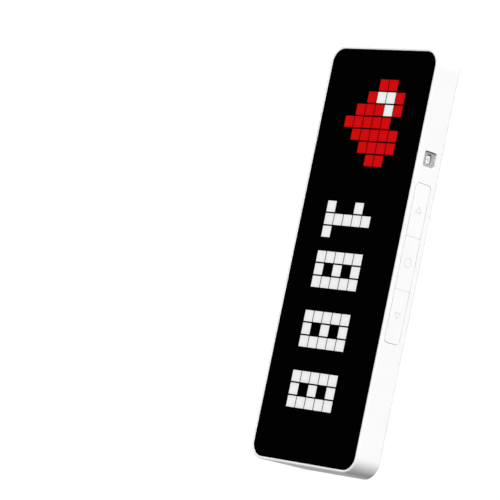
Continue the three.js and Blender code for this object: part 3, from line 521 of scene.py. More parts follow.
def make_white():
    return moulded("white_plastic", (0.68, 0.68, 0.678), 0.75, Specular_IOR_Level=0.1).material


def make_key_white():
    colour = (0.682, 0.682, 0.679)
    return moulded("key_plastic", colour, 0.7, grain=6400, depth=0.004, Specular_IOR_Level=0.1).material


# Grey of the fill in the keys' engraved marks: painted shade of the grooves
def make_groove_shade_grey():
    return moulded("mark_groove_shade", (0.53, 0.53, 0.535), 0.6, grain=7000, depth=0.003).material


def make_window():
    finish = Finish("smoked_window", (0.0002, 0.0002, 0.00022), 0.12, Specular_IOR_Level=0.002)
    smudge = finish.noise(38, 4, (1, 1, 2.2))
    finish.rough(finish.between(smudge, 0.08, 0.2, 0.35, 0.75))
    haze = finish.between(finish.noise(900, 2), 0, 1, 0.45, 0.8)
    finish.paint(finish.mix(haze, (0.00015, 0.00015, 0.00018), (0.0003, 0.0003, 0.00033)))
    return finish.material


def make_lit(name, colour, strength, column):
    """Light of cells that start at that column: each is a little brighter in its middle."""
    finish = Finish(name, (0.002, 0.002, 0.002), 0.4, Specular_IOR_Level=0.004)
    left, top, step = lit_raster()
    starts = ((0, (left + column * step) * MM), (2, top * MM + BASE))
    far = finish.distance([finish.in_cell(which, start, step * MM) for which, start in starts])
    sparkle = finish.noise(2600, 2)
    middle_glow = finish.between(far, 1.0, 0.9, 0.1, 0.6)
    glow = finish.math("ADD", middle_glow, finish.between(sparkle, -0.015, 0.015))
    finish.feed(finish.shader.inputs["Emission Color"], (*colour, 1))
    finish.feed(finish.shader.inputs["Emission Strength"], finish.math("MULTIPLY", glow, strength))
    finish.bump(sparkle, 0.003)
    return finish.material


def make_tape():
    finish = Finish("black_tape", (0.012, 0.012, 0.013), 0.85).tones(300, 0.3)
    return finish.bump(finish.noise(3800, 4), 0.03).material


def make_diffuser():
    finish = Finish("diffuser_film", (0.9, 0.9, 0.87), 0.6).tones(120, 0.015)
    return finish.bump(finish.spots(2600), 0.02).material


def make_black():
    colour = (0.018, 0.018, 0.02)
    return moulded("black_plastic", colour, 0.5, grain=3800, depth=0.012, share=0.1).material


def make_grey():
    colour = (0.305, 0.31, 0.32)
    return moulded("grey_plastic", colour, 0.45, grain=4200, depth=0.008, share=0.03).material


def make_board():
    """Cloudy green solder mask, lighter and raised over the copper runs."""
    finish = Finish("circuit_board", (0.01, 0.075, 0.045), 0.35, Coat_Weight=0.3)
    tracks = finish.tree.nodes.new("ShaderNodeTexBrick")
    finish.tree.links.new(finish.stretched((1, 0.0, 1)), tracks.inputs["Vector"])
    for name, value in (("Scale", 260.0), ("Mortar Size", 0.03), ("Mortar Smooth", 0.2)):
        finish.set(tracks, name, value)
    runs = finish.between(tracks.outputs["Fac"], 0, 1)
    cloud = finish.between(finish.noise(90, 3), 0, 1, 0.35, 0.65)
    mask = finish.mix(cloud, (0.008, 0.06, 0.036), (0.012, 0.085, 0.05))
    finish.paint(finish.mix(runs, mask, (0.03, 0.16, 0.09)))
    finish.bump(runs, 0.035)
    return finish.bump(finish.noise(2400, 2), 0.008).material


def make_display_board():
    """Black board with one white diode package behind each cell of the grid."""
    finish = Finish("display_board", (0.012, 0.013, 0.014), 0.4)
    grid_x, grid_y, grid_z = span("light_grid")
    pitch_x, pitch_z = pixel_pitch()
    half_web = WEB * MM / 2
    across = finish.in_cell(0, grid_x[0] * MM + half_web, pitch_x * MM)
    upward = finish.in_cell(2, grid_z[0] * MM + BASE + half_web, pitch_z * MM)
    far = finish.distance([across, upward])
    seat = FRONT + (grid_y[1] + SKIN - DIODE_MARGIN) * MM
    package = finish.math("LESS_THAN", finish.axis(1), seat)
    lens = finish.math("LESS_THAN", far, 0.22)
    cloud = finish.between(finish.noise(700, 2), 0, 1)
    diode = finish.mix(lens, finish.mix(cloud, (0.72, 0.72, 0.7), (0.82, 0.82, 0.8)), (0.62, 0.52, 0.2))
    cloud = finish.between(finish.noise(220, 3), 0, 1)
    mask = finish.mix(cloud, (0.008, 0.009, 0.01), (0.02, 0.021, 0.022))
    finish.paint(finish.mix(package, mask, diode))
    return finish.bump(finish.noise(2800, 2), 0.01).material


def make_resin():
    """Milky resin with the small grey chip showing through in the middle."""
    finish = Finish("sensor_resin", (0.78, 0.785, 0.79), 0.2, Coat_Weight=0.3)
    across, deep, _ = span("light_sensor")
    centre = (middle(across) * MM, FRONT + middle(deep) * MM)
    far = finish.distance([finish.from_point(which, centre[which]) for which in (0, 1)])
    chip = finish.between(far, 1, 0, SENSOR_CHIP[0] * MM, SENSOR_CHIP[1] * MM)
    cloud = finish.noise(400, 3)
    milk = finish.mix(finish.between(cloud, 0, 1, 0.3, 0.7), (0.64, 0.645, 0.65), (0.7, 0.705, 0.71))
    finish.paint(finish.mix(chip, milk, (0.42, 0.43, 0.45)))
    return finish.bump(finish.noise(1500, 2), 0.004).material


def make_nylon():
    colour = (0.76, 0.72, 0.6)
    return moulded("connector_plastic", colour, 0.5, grain=3400, depth=0.012, share=0.04).material


def make_cell():
    """Blue wrap with bare steel at both ends."""
    finish = Finish("cell_wrap", (0.02, 0.13, 0.42), 0.3, Coat_Weight=0.4)
    across, _, _ = span("battery_cell_lower")
    place = finish.axis(0)
    before = finish.math("LESS_THAN", place, (across[0] + 1.2) * MM)
    behind = finish.math("GREATER_THAN", place, (across[1] - 2.2) * MM)
    bare = finish.math("ADD", before, behind, clamp=True)
    wrap = finish.mix(finish.noise(70, 3, (0.2, 1, 1)), (0.016, 0.11, 0.38), (0.026, 0.15, 0.46))
    finish.paint(finish.mix(bare, wrap, (0.6, 0.6, 0.6)))
    finish.metal(bare)
    finish.rough(finish.between(finish.noise(240, 3), 0.24, 0.38))
    return finish.bump(finish.noise(90, 2, (0.15, 1, 1)), 0.05).material


def make_jacket():
    finish = Finish("lead_jacket", (0.5, 0.035, 0.025), 0.45).tones(500, 0.08)
    return finish.bump(finish.noise(900, 2, (1, 1, 0.3)), 0.02).material


def make_ribbon():
    """Flat cable: one red core among grey ones, with grooves between them."""
    finish = Finish("ribbon_jacket", (0.4, 0.4, 0.42), 0.5)
    across, _, _ = span("display_lead")
    count = finish.math("DIVIDE", finish.from_point(0, across[0] * MM), MM)
    first = finish.math("LESS_THAN", count, 1.0)
    cloud = finish.between(finish.noise(300, 2), 0, 1)
    grey = finish.mix(cloud, (0.36, 0.36, 0.38), (0.44, 0.44, 0.46))
    finish.paint(finish.mix(first, grey, (0.5, 0.03, 0.03)))
    groove = finish.math("ABSOLUTE", finish.math("SUBTRACT", finish.math("FRACT", count), 0.5))
    return finish.bump(finish.between(groove, 1, 0, 0.3, 0.5), 0.15).material


def make_rubber():
    finish = Finish("foot_rubber", (0.045, 0.046, 0.048), 0.85, Specular_IOR_Level=0.3).tones(260, 0.15)
    return finish.bump(finish.noise(2200, 4), 0.03).material


def make_screw_steel():
    finish = Finish("screw_steel", (0.56, 0.57, 0.58), 0.32, Metallic=1.0).tones(800, 0.08, 0.08)
    return finish.bump(finish.noise(4200, 3), 0.006).material


def make_shield_steel():
    finish = Finish("shield_steel", (0.66, 0.66, 0.67), 0.28, Metallic=1.0).tones(200, 0.05, 0.06)
    return finish.bump(finish.noise(1600, 3, (0.05, 1, 1)), 0.006).material


def make_gold():
    finish = Finish("contact_gold", (0.83, 0.6, 0.24), 0.25, Metallic=1.0).tones(600, 0.06)
    return finish.bump(finish.noise(3000, 2), 0.003).material


def pixel_pitch():
    across, _, tall = span("light_grid")
    return (across[1] - across[0] - WEB) / COLUMNS, (tall[1] - tall[0] - WEB) / ROWS


def lit_raster():
    """Left and top edge of the lit cells' square raster, and its step."""
    across, _, tall = span("light_grid")
    return across[0] + WEB / 2, tall[1] - WEB / 2, pixel_pitch()[0]


white = make_white()
key_white = make_key_white()
smoked = make_window()
groove_shade_grey = make_groove_shade_grey()
tape = make_tape()
diffuser = make_diffuser()
black = make_black()
grey = make_grey()
board = make_board()
display_board = make_display_board()
resin = make_resin()
nylon = make_nylon()
cell = make_cell()
jacket = make_jacket()
ribbon = make_ribbon()
rubber = make_rubber()
screw_steel = make_screw_steel()
shield_steel = make_shield_steel()
gold = make_gold()

# Housing


def case_top(depth, offset):
    """Height of the casing's top at a depth, with an offset inward."""
    slope = HEIGHT - (depth - KEY_FACE) * math.tan(SLOPE) - offset / math.cos(SLOPE)
    return min(HEIGHT - offset, slope)


def case_ring(depth, inset, top, radius):
    return upright(rounded(-LENGTH / 2 + inset, LENGTH / 2 - inset, inset, top, radius), depth)


def outer_rings():
    rings = []
    for i in range(EDGE_STEPS + 1):
        angle = math.pi / 2 * i / EDGE_STEPS
        depth = FRONT_EDGE * (1 - math.cos(angle))
        inset = FRONT_EDGE * (1 - math.sin(angle))
        rings.append(case_ring(depth, inset, HEIGHT - inset, END_RADIUS - inset))
    start = KEY_FACE - SLOPE_EDGE * math.tan(SLOPE / 2)
    for i in range(EDGE_STEPS + 1):
        angle = SLOPE * i / EDGE_STEPS
        top = HEIGHT - SLOPE_EDGE * (1 - math.cos(angle))
        rings.append(case_ring(start + SLOPE_EDGE * math.sin(angle), 0, top, END_RADIUS))
    low_middle = BACK_HEIGHT - BACK_EDGE * math.tan((math.pi / 2 - SLOPE) / 2)
    for i in range(BACK_STEPS + 1):
        angle = math.pi / 2 * i / BACK_STEPS
        depth = DEPTH - BACK_EDGE * (1 - math.sin(angle))
        inset = BACK_EDGE * (1 - math.cos(angle))
        top = case_top(depth, 0) if angle < SLOPE else low_middle + BACK_EDGE * math.cos(angle)
        rings.append(case_ring(depth, inset, top, END_RADIUS - inset))
    return rings


def back_ring(depth, inset, radius):
    return case_ring(depth, inset, BACK_HEIGHT - inset, radius)


def inner_rings():
    """From the back face, over the cover's recess and the hollow, to the front rim."""
    edge = RIM_EDGE
    rings = []
    mouth = COVER_INSET - edge
    for inset, depth in arc((mouth, DEPTH), (COVER_INSET, DEPTH - edge), (mouth, DEPTH - edge)):
        rings.append(back_ring(depth, inset, COVER_CORNER + COVER_INSET - inset))
    seat = span("rear_cover")[1][1] - COVER - SKIN
    through = COVER_INSET + COVER_LEDGE
    rings.append(back_ring(seat, COVER_INSET, COVER_CORNER))
    rings.append(back_ring(seat, through, COVER_CORNER - COVER_LEDGE))
    frame_front = DEPTH - BACK_FRAME
    rings.append(back_ring(frame_front, through, COVER_CORNER - COVER_LEDGE))
    turn = KEY_FACE - WALL * math.tan(SLOPE / 2)
    for depth in (frame_front, turn, LEDGE):
        rings.append(case_ring(depth, WALL, case_top(depth, WALL), END_RADIUS - WALL))
    rings.append(case_ring(LEDGE, RIM, HEIGHT - RIM, END_RADIUS - RIM))
    for inset, depth in arc((RIM, edge), (RIM - edge, 0), (RIM - edge, edge)):
        rings.append(case_ring(depth, inset, HEIGHT - inset, END_RADIUS - inset))
    return rings


def opening(across, deep, corner, edge):
    """Cutter for an opening in the key face, flared at the top to round its edge."""
    flare = arc((0, HEIGHT - edge), (-edge, HEIGHT + HAIR), (-edge, HEIGHT - edge))
    profile = [(0, HEIGHT - WALL - OVER)] + flare + [(-edge, HEIGHT + OVER)]
    return loft([level(shrunk(across, deep, inset, corner - inset), z) for inset, z in profile])


def housing_posts():
    """Posts and bosses that carry the boards and the rear cover."""
    board_back = span("led_board")[1][1]
    rear = span("rear_cover")[1][1] - COVER - 2 * SKIN
    inner = LENGTH / 2 - WALL
    into = WALL / 2
    cell_depth = middle(span("battery_cell_lower")[1])
    cover_screw = middle(span("rear_cover_screw_2")[2])
    key_top = span("key_board")[2][1]
    top = HEIGHT - WALL
    near = board_back + SKIN
    low, high = cover_screw - POST / 2, cover_screw + POST / 2
    shapes = []
    for side in (-1, 1):
        left, right = sorted((side * (inner - POST), side * (inner + into)))
        shapes.append(slab(left, right, near, rear, into, WALL + POST))
        shapes.append(slab(left, right, near, near + TOP_POST_LENGTH, top - POST, top + into))
        shapes.append(slab(left, right, cell_depth, rear, low, high))
        screw = span("key_board_screw_left" if side < 0 else "key_board_screw_right")
        at = (middle(screw[0]), middle(screw[1]))
        shapes.append(rod_up(at, BOSS_RADIUS, key_top + SKIN, top + into, 32))
    return together(shapes)


def housing_cutters():
    half = span("key_right")[0][1] + GROOVE
    insert_x, insert_y, _ = span("sensor_bezel")
    sensor_x, sensor_y = middle(insert_x), middle(insert_y)
    long, wide = SENSOR_LENGTH / 2, SENSOR_WIDTH / 2
    sensor = (sensor_x - long, sensor_x + long), (sensor_y - wide, sensor_y + wide)
    shapes = [
        opening((-half, half), KEY_OPENING, KEY_CORNER, KEY_OPENING_EDGE),
        opening(*sensor, SENSOR_CORNER, SENSOR_OPENING_EDGE),
    ]
    for name in FEET:
        x, y, z = span(name)
        at = (middle(x), middle(y))
        profile = FOOT_RECESS + [(FOOT_RECESS[-1][0], z[1] + SKIN)]
        shapes.append(loft([level(circle(*at, r), h) for r, h in profile]))
    board_back = span("led_board")[1][1]
    cover_hole = middle(span("battery_cell_lower")[1]) + OVER
    for i in range(1, 5):
        x, _, z = span(f"led_board_screw_{i}")
        at = (middle(x), middle(z))
        shapes.append(rod_back(at, HOLE_RADIUS, board_back, board_back + BOARD_HOLE_DEPTH))
        x, _, z = span(f"rear_cover_screw_{i}")
        at = (middle(x), middle(z))
        shapes.append(rod_back(at, HOLE_RADIUS, cover_hole, DEPTH - COVER_HOLE_END))
    low = span("key_board")[2][1]
    for side in ("left", "right"):
        x, y, _ = span(f"key_board_screw_{side}")
        shapes.append(rod_up((middle(x), middle(y)), HOLE_RADIUS, low, low + KEY_BOARD_HOLE_DEPTH))
    return together(shapes)


def add_housing():
    inset = WALL / 2
    turn = KEY_FACE - inset * math.tan(SLOPE / 2)
    depths = (POST_ROOM_FRONT, turn, DEPTH)
    rings = [case_ring(d, inset, case_top(d, inset), END_RADIUS - inset) for d in depths]
    posts = combine(make("posts", loft(rings)), housing_posts(), "INTERSECT")
    shape = [
        [(v.co.x / MM, (v.co.y - FRONT) / MM, (v.co.z - BASE) / MM) for v in posts.data.vertices],
        [tuple(p.vertices) for p in posts.data.polygons],
    ]
    bpy.data.objects.remove(posts)
    shell = make("housing_shell", loft(outer_rings() + inner_rings(), loop=True))
    combine(shell, shape, "UNION")
    combine(shell, housing_cutters(), "DIFFERENCE")
    dress(shell, white, "clock", "white_plastic", "housing")


# Display


def add_window():
    edge = WINDOW_EDGE
    across, deep, tall = span("display_window")
    corner = END_RADIUS - RIM - WINDOW_CLEARANCE
    profile = arc((edge, 0), (0, edge), (edge, edge)) + [(0, deep[1])]
    rings = [upright(shrunk(across, tall, inset, corner - inset), depth) for inset, depth in profile]
    dress(make("window_sheet", loft(rings)), smoked, "clock", "smoked_window", "display_window")


# Lit cells, from the top row down: a red heart with a white glint, and plain digits.
# Each has its first column and its first row, and the digits' columns aren't whole numbers.
HEART = [".##.##.", "#oo####", "#o#####", ".#####.", "..###..", "...#..."]
ONE = [".o.", "oo.", ".o.", ".o.", "ooo"]
EIGHT = ["ooo", "o.o", "ooo", "o.o", "ooo"]
PICTURE = [
    ("heart", 2, 1, HEART),
    ("digit_1", 11.79, 2, ONE),
    ("digit_2", 15.77, 2, EIGHT),
    ("digit_3", 20.49, 2, EIGHT),
    ("digit_4", 25.23, 2, EIGHT),
]


def add_pixels():
    start, top, step = lit_raster()
    for name, column, row, lines in PICTURE:
        tiles = {"#": [], "o": []}
        for j, line in enumerate(lines):
            for i, mark in enumerate(line):
                if mark not in tiles:
                    continue
                left = start + (column + i) * step + TILE_GAP_X / 2
                high = top - (row + j) * step - TILE_GAP_Z / 2
                right, low = left + step - TILE_GAP_X, high - step + TILE_GAP_Z
                outline = rounded(left, right, low, high, TILE_CORNER, 4)
                tiles[mark].append(loft([upright(outline, d) for d in (-TILE_PROUD, TILE_BACK)]))
        for word, mark, light in (("red", "#", LIT_RED), ("white", "o", LIT_WHITE)):
            if tiles[mark]:
                material = make_lit(f"lit_{word}_{name}", *light, column)
                lit = make(f"lit_{name}_{word}", together(tiles[mark]))
                dress(lit, material, "clock", "diffuser_film")


# Keys


def capsule(start, end, width, low, high):
    """A short stroke with round ends."""
    along = math.atan2(end[1] - start[1], end[0] - start[0])
    quarter = math.pi / 2
    points = sweep(end, width / 2, along - quarter, along + quarter, MARK_END_STEPS)
    points += sweep(start, width / 2, along + quarter, along + 3 * quarter, MARK_END_STEPS)
    return loft([level(points, z) for z in (low, high)])


def band(centre, radius, width, first, last, low, high, steps=40):
    """Part of a ring with round ends."""
    half = width / 2
    start, end = (sweep(centre, radius, angle, angle, 1)[0] for angle in (first, last))
    points = sweep(centre, radius + half, first, last, steps)
    points += sweep(end, half, last, last + math.pi, MARK_END_STEPS, skip=1)
    points += sweep(centre, radius - half, last, first, steps)
    points += sweep(start, half, first + math.pi, first + 2 * math.pi, MARK_END_STEPS, skip=1)
    return loft([level(points, z) for z in (low, high)])


def key_mark(side, x, y, low, high):
    """Strokes of one mark: a ring with a bar, or a triangle that points away from the middle key."""
    x += MARK_SHIFT
    width = MARK_WIDTH
    if side == "middle":
        radius = RING_MARK / 2
        first, last = math.pi / 2 + RING_MARK_GAP, 2.5 * math.pi - RING_MARK_GAP
        ring = band((x, y), radius - width / 2, width, first, last, low, high)
        return [ring, capsule((x, y + radius / 4 + width / 2), (x, y + radius), width, low, high)]
    reach = (ARROW_MARK_LENGTH - width) / 2 * (-1 if side == "left" else 1)
    half = (ARROW_MARK_HEIGHT - width) / 2
    corners = [(x + reach, y), (x - reach, y - half), (x - reach, y + half)]
    return [capsule(corners[i], corners[(i + 1) % 3], width, low, high) for i in range(3)]


def add_keys():
    outer, inner = KEY_CORNER - GROOVE, KEY_INNER_CORNER
    radii = {
        "left": (inner, inner, outer, outer),
        "middle": (inner, inner, inner, inner),
        "right": (outer, outer, inner, inner),
    }
    cap_deep = (KEY_OPENING[0] + KEY_SLOT, KEY_OPENING[1] - KEY_SLOT)
    wing_top = HEIGHT - WALL - SKIN
    profile = [(0, wing_top - KEY_BITE)] + round_over(HEIGHT, KEY_EDGE)
    for side in ("left", "middle", "right"):
        name = f"key_{side}"
        across, deep, tall = span(name)
        x, y = middle(across), middle(deep)
        start = across[0] - (0 if side == "left" else KEY_LAP)
        end = across[1] + (0 if side == "right" else KEY_LAP)
        rings = []
        for inset, z in profile:
            corners = [r - inset for r in radii[side]]
            rings.append(level(shrunk((start, end), cap_deep, inset, corners, 8), z))
        cap = make(f"key_cap_{side}", loft(rings))
        wing_left, wing_right = across[0] + GROOVE, across[1] - GROOVE
        wing_low = wing_top - KEY_WING_HEIGHT
        wings = slab(wing_left, wing_right, *deep, wing_low, wing_top, KEY_WING_CORNER)
        stem = rod_up((x, y), KEY_STEM_RADIUS, tall[0], wing_top - KEY_WING_HEIGHT / 2, 32)
        combine(cap, together([wings, stem]), "UNION")
        for stroke in key_mark(side, x, y, HEIGHT - MARK_DEPTH, HEIGHT + OVER / 2):
            combine(cap, stroke, "DIFFERENCE")
        dress(cap, key_white, f"{side}_key", "key_plastic", name)
        # The grey fill in the strokes is painted shade of the grooves
        strokes = key_mark(side, x, y, HEIGHT - SHADE_FILL_BOTTOM, HEIGHT - SHADE_FILL_TOP)
        mark = make(f"key_mark_{side}", strokes[0])
        for stroke in strokes[1:]:
            combine(mark, stroke, "UNION")
        dress(mark, groove_shade_grey, f"{side}_key", "grey_plastic")


# Light sensor


def lens_outline(x, y, inset):
    half_x, half_y = LENS_LENGTH / 2 - inset, LENS_WIDTH / 2 - inset
    y += LENS_BACK
    return rounded(x - half_x, x + half_x, y - half_y, y + half_y, LENS_CORNER - inset)


def add_sensor_insert():
    across, deep, tall = span("sensor_bezel")
    x, y = middle(across), middle(deep)
    long, wide = SENSOR_LENGTH / 2 - SENSOR_CLEARANCE, SENSOR_WIDTH / 2 - SENSOR_CLEARANCE
    top = tall[1]
    rings = []
    for inset, z in [(0, tall[0])] + round_over(top, SENSOR_EDGE):
        outline = shrunk((x - long, x + long), (y - wide, y + wide), inset, SENSOR_CORNER - inset)
        rings.append(level(outline, z))
    insert = make("sensor_insert", loft(rings))
    flange = rounded(*across, *deep, SENSOR_CORNER)
    under = HEIGHT - WALL - SKIN
    combine(insert, loft([level(flange, z) for z in (tall[0], under)]), "UNION")
    inner, outer = -LENS_CLEARANCE, -(LENS_CLEARANCE + LENS_FLARE)
    hole = [(inner, tall[0] - OVER), (inner, top - LENS_FLARE), (outer, top + HAIR), (outer, top + OVER)]
    combine(insert, loft([level(lens_outline(x, y, i), z) for i, z in hole]), "DIFFERENCE")
    dress(insert, grey, "clock", "grey_plastic", "sensor_bezel")


def add_sensor_lens():
    across, deep, tall = span("light_sensor")
    x, y = (middle(side) for side in span("sensor_bezel")[:2])
    low, top = tall
    turn = top - LENS_ROUND
    profile = [(0, low + LENS_FOOT_HEIGHT / 2)]
    profile += arc((0, turn), (LENS_ROUND, top - LENS_SHOULDER), (LENS_ROUND, turn), 8)
    profile += [(inset, top - drop) for inset, drop in LENS_DOME]
    lens = make("sensor_lens", loft([level(lens_outline(x, y, i), z) for i, z in profile]))
    foot = slab(*across, *deep, low, low + LENS_FOOT_HEIGHT, LENS_FOOT_CORNER)
    combine(lens, foot, "UNION")
    dress(lens, resin, "clock", "sensor_resin", "light_sensor")


# Rear cover, its screws and the charging socket


def vent_places():
    """Left and right end of the vents over the buzzer, their lowest edge and their number."""
    right = span("main_board")[0][1] - VENT_LENGTH / 2
    low = span("buzzer")[2][1] + VENT_PITCH
    high = span("rear_cover")[2][1] - VENT_TOP_MARGIN
    count = 1 + int((high - low - VENT_WIDTH) // VENT_PITCH)
    return (right - VENT_LENGTH, right), low, count


def cover_cutters():
    """Port for the socket, vents, sound holes and countersunk screw holes."""
    near, edge = DEPTH - COVER - OVER, COVER_EDGE
    flare = [(0, near), (0, DEPTH - edge), (-edge, DEPTH + HAIR), (-edge, DEPTH + OVER)]
    shapes = []

    def hole(outline):
        shapes.append(loft([upright(outline(inset), depth) for inset, depth in flare]))

    socket_x, _, socket_z = span("usb_socket")
    half = (socket_z[1] - socket_z[0]) / 2 + PORT_CLEARANCE
    hole(lambda i: shrunk(socket_x, socket_z, i - PORT_CLEARANCE, half - i))
    vent_x, lowest, count = vent_places()
    for k in range(count):
        low = lowest + k * VENT_PITCH
        hole(lambda i: shrunk(vent_x, (low, low + VENT_WIDTH), i, VENT_WIDTH / 2 - i, 8))
    buzzer_x, _, buzzer_z = span("buzzer")
    centre = (middle(buzzer_x), middle(buzzer_z))
    for a, b in [centre] + circle(*centre, SOUND_RING, SOUND_HOLES):
        hole(lambda i: circle(a, b, SOUND_RADIUS - i, 24))
    sink = [
        (HOLE_RADIUS, near),
        (HOLE_RADIUS, DEPTH - HEAD_HEIGHT),
        (SINK_RADIUS, DEPTH - SKIN),
        (SINK_MOUTH_RADIUS, DEPTH + HAIR),
        (SINK_MOUTH_RADIUS, DEPTH + OVER),
    ]
    for i in range(1, 5):
        x, _, z = span(f"rear_cover_screw_{i}")
        shapes.append(loft([upright(circle(middle(x), middle(z), r, 40), d) for r, d in sink]))
    return together(shapes)


def add_cover():
    across, _, tall = span("rear_cover")
    corner = COVER_CORNER - COVER_CLEARANCE
    profile = [(0, DEPTH - COVER)] + round_over(DEPTH, COVER_EDGE)
    rings = [upright(shrunk(across, tall, inset, corner - inset), depth) for inset, depth in profile]
    plate = make("back_plate", loft(rings))
    board_back = span("main_board")[1][1] + SKIN
    posts, pilots = [], []
    for i in range(1, 5):
        x, _, z = span(f"main_board_screw_{i}")
        at = (middle(x), middle(z))
        posts.append(rod_back(at, STANDOFF_RADIUS, board_back, DEPTH - COVER / 2, 32))
        pilots.append(rod_back(at, HOLE_RADIUS, board_back - OVER, DEPTH - COVER))
    combine(plate, together(posts), "UNION")
    combine(plate, together(pilots), "DIFFERENCE")
    combine(plate, cover_cutters(), "DIFFERENCE")
    dress(plate, white, "clock", "white_plastic", "rear_cover")


def add_cover_screws():
    for i in range(1, 5):
        name = f"rear_cover_screw_{i}"
        x, (tip, top), z = span(name)
        a, b = middle(x), middle(z)
        head = (x[1] - x[0]) / 2
        profile = [
            (SHANK_TIP_RADIUS, tip),
            (SHANK_RADIUS, tip + SHANK_TAPER),
            (SHANK_RADIUS, top - HEAD_HEIGHT),
            (head, top - HEAD_BEVEL[1]),
            (head - HEAD_BEVEL[0], top),
        ]
        screw = make(f"back_screw_{i}", loft([upright(circle(a, b, r, 40), d) for r, d in profile]))
        for half_x, half_z in CROSS_ARMS:
            rings = []
            for share, corner, place in CROSS_ENDS:
                p, q = half_x * share, half_z * share
                rings.append(upright(rounded(a - p, a + p, b - q, b + q, corner, 3), top + place))
            combine(screw, loft(rings), "DIFFERENCE")
        dress(screw, screw_steel, "clock", "screw_steel", name)


def add_socket():
    across, (near, far), tall = span("usb_socket")
    x, z = middle(across), middle(tall)
    half = (tall[1] - tall[0]) / 2
    lip, wall, core = SOCKET_LIP, SOCKET_WALL, half - SOCKET_SLIT
    floor = near + SOCKET_BACK
    profile = [(0, near)] + arc((0, far - lip), (lip, far), (lip, far - lip), 3)
    profile += arc((wall - lip, far), (wall, far - lip), (wall - lip, far - lip), 3)
    profile += [(wall, floor), (core, floor), (core, near)]
    rings = [upright(shrunk(across, tall, inset, half - inset), depth) for inset, depth in profile]
    shell = make("socket_shell", loft(rings, loop=True))
    dress(shell, shield_steel, "clock", "shield_steel", "usb_socket")

    end = far - TONGUE_RECESS
    wide, high = TONGUE_WIDTH / 2, TONGUE_HEIGHT / 2
    bevel, length = TONGUE_BEVEL
    rings = []
    for inset, depth in [(0, near + SOCKET_BACK / 2), (0, end - length), (bevel, end)]:
        outline = shrunk((x - wide, x + wide), (z - high, z + high), inset, TONGUE_CORNER, 4)
        rings.append(upright(outline, depth))
    dress(make("socket_tongue", loft(rings)), black, "clock", "black_plastic")

    first = x - (CONTACT_COUNT - 1) / 2 * CONTACT_PITCH - CONTACT_WIDTH / 2
    start, stop = far - CONTACT_DEPTH, end - CONTACT_RECESS
    inner, outer = CONTACT_FACES
    strips = []
    for i in range(CONTACT_COUNT):
        left = first + i * CONTACT_PITCH
        right = left + CONTACT_WIDTH
        for low, high in ((inner, outer), (-outer, -inner)):
            strips.append(slab(left, right, start, stop, z + low, z + high, CONTACT_CORNER))
    dress(make("socket_contacts", together(strips)), gold, "clock", "shield_steel")


def add_feet():
    edge = FOOT_EDGE
    for name in FEET:
        x, y, (low, high) = span(name)
        radius = (x[1] - x[0]) / 2
        inner = radius - edge
        profile = arc((inner, low), (radius, low + edge), (inner, low + edge)) + [(radius, high)]
        rings = [level(circle(middle(x), middle(y), r, 64), h) for r, h in profile]
        dress(make(f"pad_{name}", loft(rings)), rubber, "clock", "foot_rubber", name)


add_housing()
add_window()
add_pixels()
add_keys()
add_sensor_insert()
add_sensor_lens()
add_cover()
add_cover_screws()
add_socket()
add_feet()

# Finishes of the inner pieces, which keep their drawn shapes
FINISHES = {
    "window_tape": tape,
    "diffuser_sheet": diffuser,
    "light_grid": black,
    "led_board": display_board,
    "key_board": board,
    "main_board": board,
    "switch_body": black,
    "switch_plunger": grey,
    "wireless_module": shield_steel,
    "buzzer": black,
    "humidity_sensor": shield_steel,
    "backup_cell_holder": black,
    "backup_cell": shield_steel,
    "battery_holder": black,
    "battery_cell": cell,
    "display_connector": nylon,
    "board_connector": nylon,
    "battery_connector": nylon,
    "key_connector": nylon,
    "display_lead": ribbon,
    "key_lead": jacket,
    "battery_lead": jacket,
}


def finish_of(name):
    if "screw" in name:
        return screw_steel
    fits = [start for start in FINISHES if name.startswith(start)]
    return FINISHES[max(fits, key=len)]


for name, node in NODES.items():
    if node.hide_render:
        continue
    for place in node.material_slots:
        place.link = "OBJECT"
        place.material = finish_of(name)
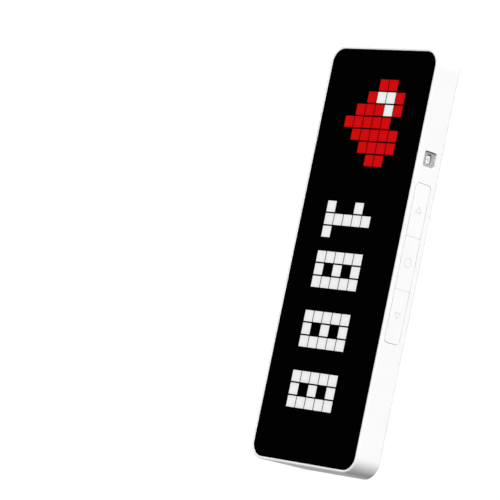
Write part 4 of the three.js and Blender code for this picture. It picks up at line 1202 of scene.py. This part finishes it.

# Studio: a dark floor that glows by its own emission, a painted pool of light that is brightest round
# the clock and hides its shadow, under a soft sky that is brightest above the front left


def add_floor():
    half, low = FLOOR_HALF, -SKIN * MM
    data = bpy.data.meshes.new("floor")
    corners = [(-half, -half, low), (half, -half, low), (half, half, low), (-half, half, low)]
    data.from_pydata(corners, [], [(0, 1, 2, 3)])
    floor = bpy.data.objects.new("floor", data)
    bpy.context.scene.collection.objects.link(floor)
    finish = Finish("floor_painted_glow", (0.08, 0.08, 0.08), 0.9, Specular_IOR_Level=0.1).tones(12, 0.004)
    beyond = []
    for which, extent in enumerate(PAINTED_POOL_REACH):
        out = finish.math("SUBTRACT", finish.math("ABSOLUTE", finish.axis(which)), extent)
        beyond.append(finish.math("MAXIMUM", out, 0))
    past = finish.distance(beyond)
    # Painted light: the floor glows brightest round the clock, so no shadow shows there
    glow = finish.between(past, PAINTED_POOL_GLOW, PAINTED_FLOOR_GLOW, 0, PAINTED_POOL_EDGE)
    glow.node.interpolation_type = "SMOOTHSTEP"
    finish.set(finish.shader, "Emission Color", (1, 1, 1, 1))
    finish.feed(finish.shader.inputs["Emission Strength"], glow)
    data.materials.append(finish.bump(finish.noise(700, 3), 0.02).material)


def add_sky():
    world = bpy.data.worlds.new("studio")
    bpy.context.scene.world = world
    world.use_nodes = True
    tree = world.node_tree
    back = tree.nodes["Background"]
    way = tree.nodes.new("ShaderNodeTexCoord").outputs["Generated"]
    dot = tree.nodes.new("ShaderNodeVectorMath")
    dot.operation = "DOT_PRODUCT"
    dot.inputs[1].default_value = SKY_WAY
    tree.links.new(way, dot.inputs[0])
    ramp = tree.nodes.new("ShaderNodeMapRange")
    ramp.interpolation_type = "SMOOTHSTEP"
    tree.links.new(dot.outputs["Value"], ramp.inputs["Value"])
    limits = {"From Min": SKY_EDGE, "From Max": 1.0, "To Min": SKY_LOW, "To Max": SKY_HIGH}
    for key, value in limits.items():
        ramp.inputs[key].default_value = value
    tree.links.new(ramp.outputs[0], back.inputs["Strength"])
    back.inputs["Color"].default_value = (1, 1, 1, 1)


def add_camera():
    data = bpy.data.cameras.new("camera")
    data.sensor_width = 36
    data.lens = CAMERA_LENS
    data.clip_end = 50
    camera = bpy.data.objects.new("camera", data)
    bpy.context.scene.collection.objects.link(camera)
    ahead = (CAMERA_AIM - CAMERA_PLACE).normalized()
    right = ahead.cross(CAMERA_UP).normalized()
    up = right.cross(ahead)
    turn = Matrix((right, up, -ahead)).transposed()
    camera.matrix_world = Matrix.Translation(CAMERA_PLACE) @ turn.to_4x4()
    bpy.context.scene.camera = camera


add_floor()
add_sky()
add_camera()
bpy.context.scene.view_settings.view_transform = "Standard"
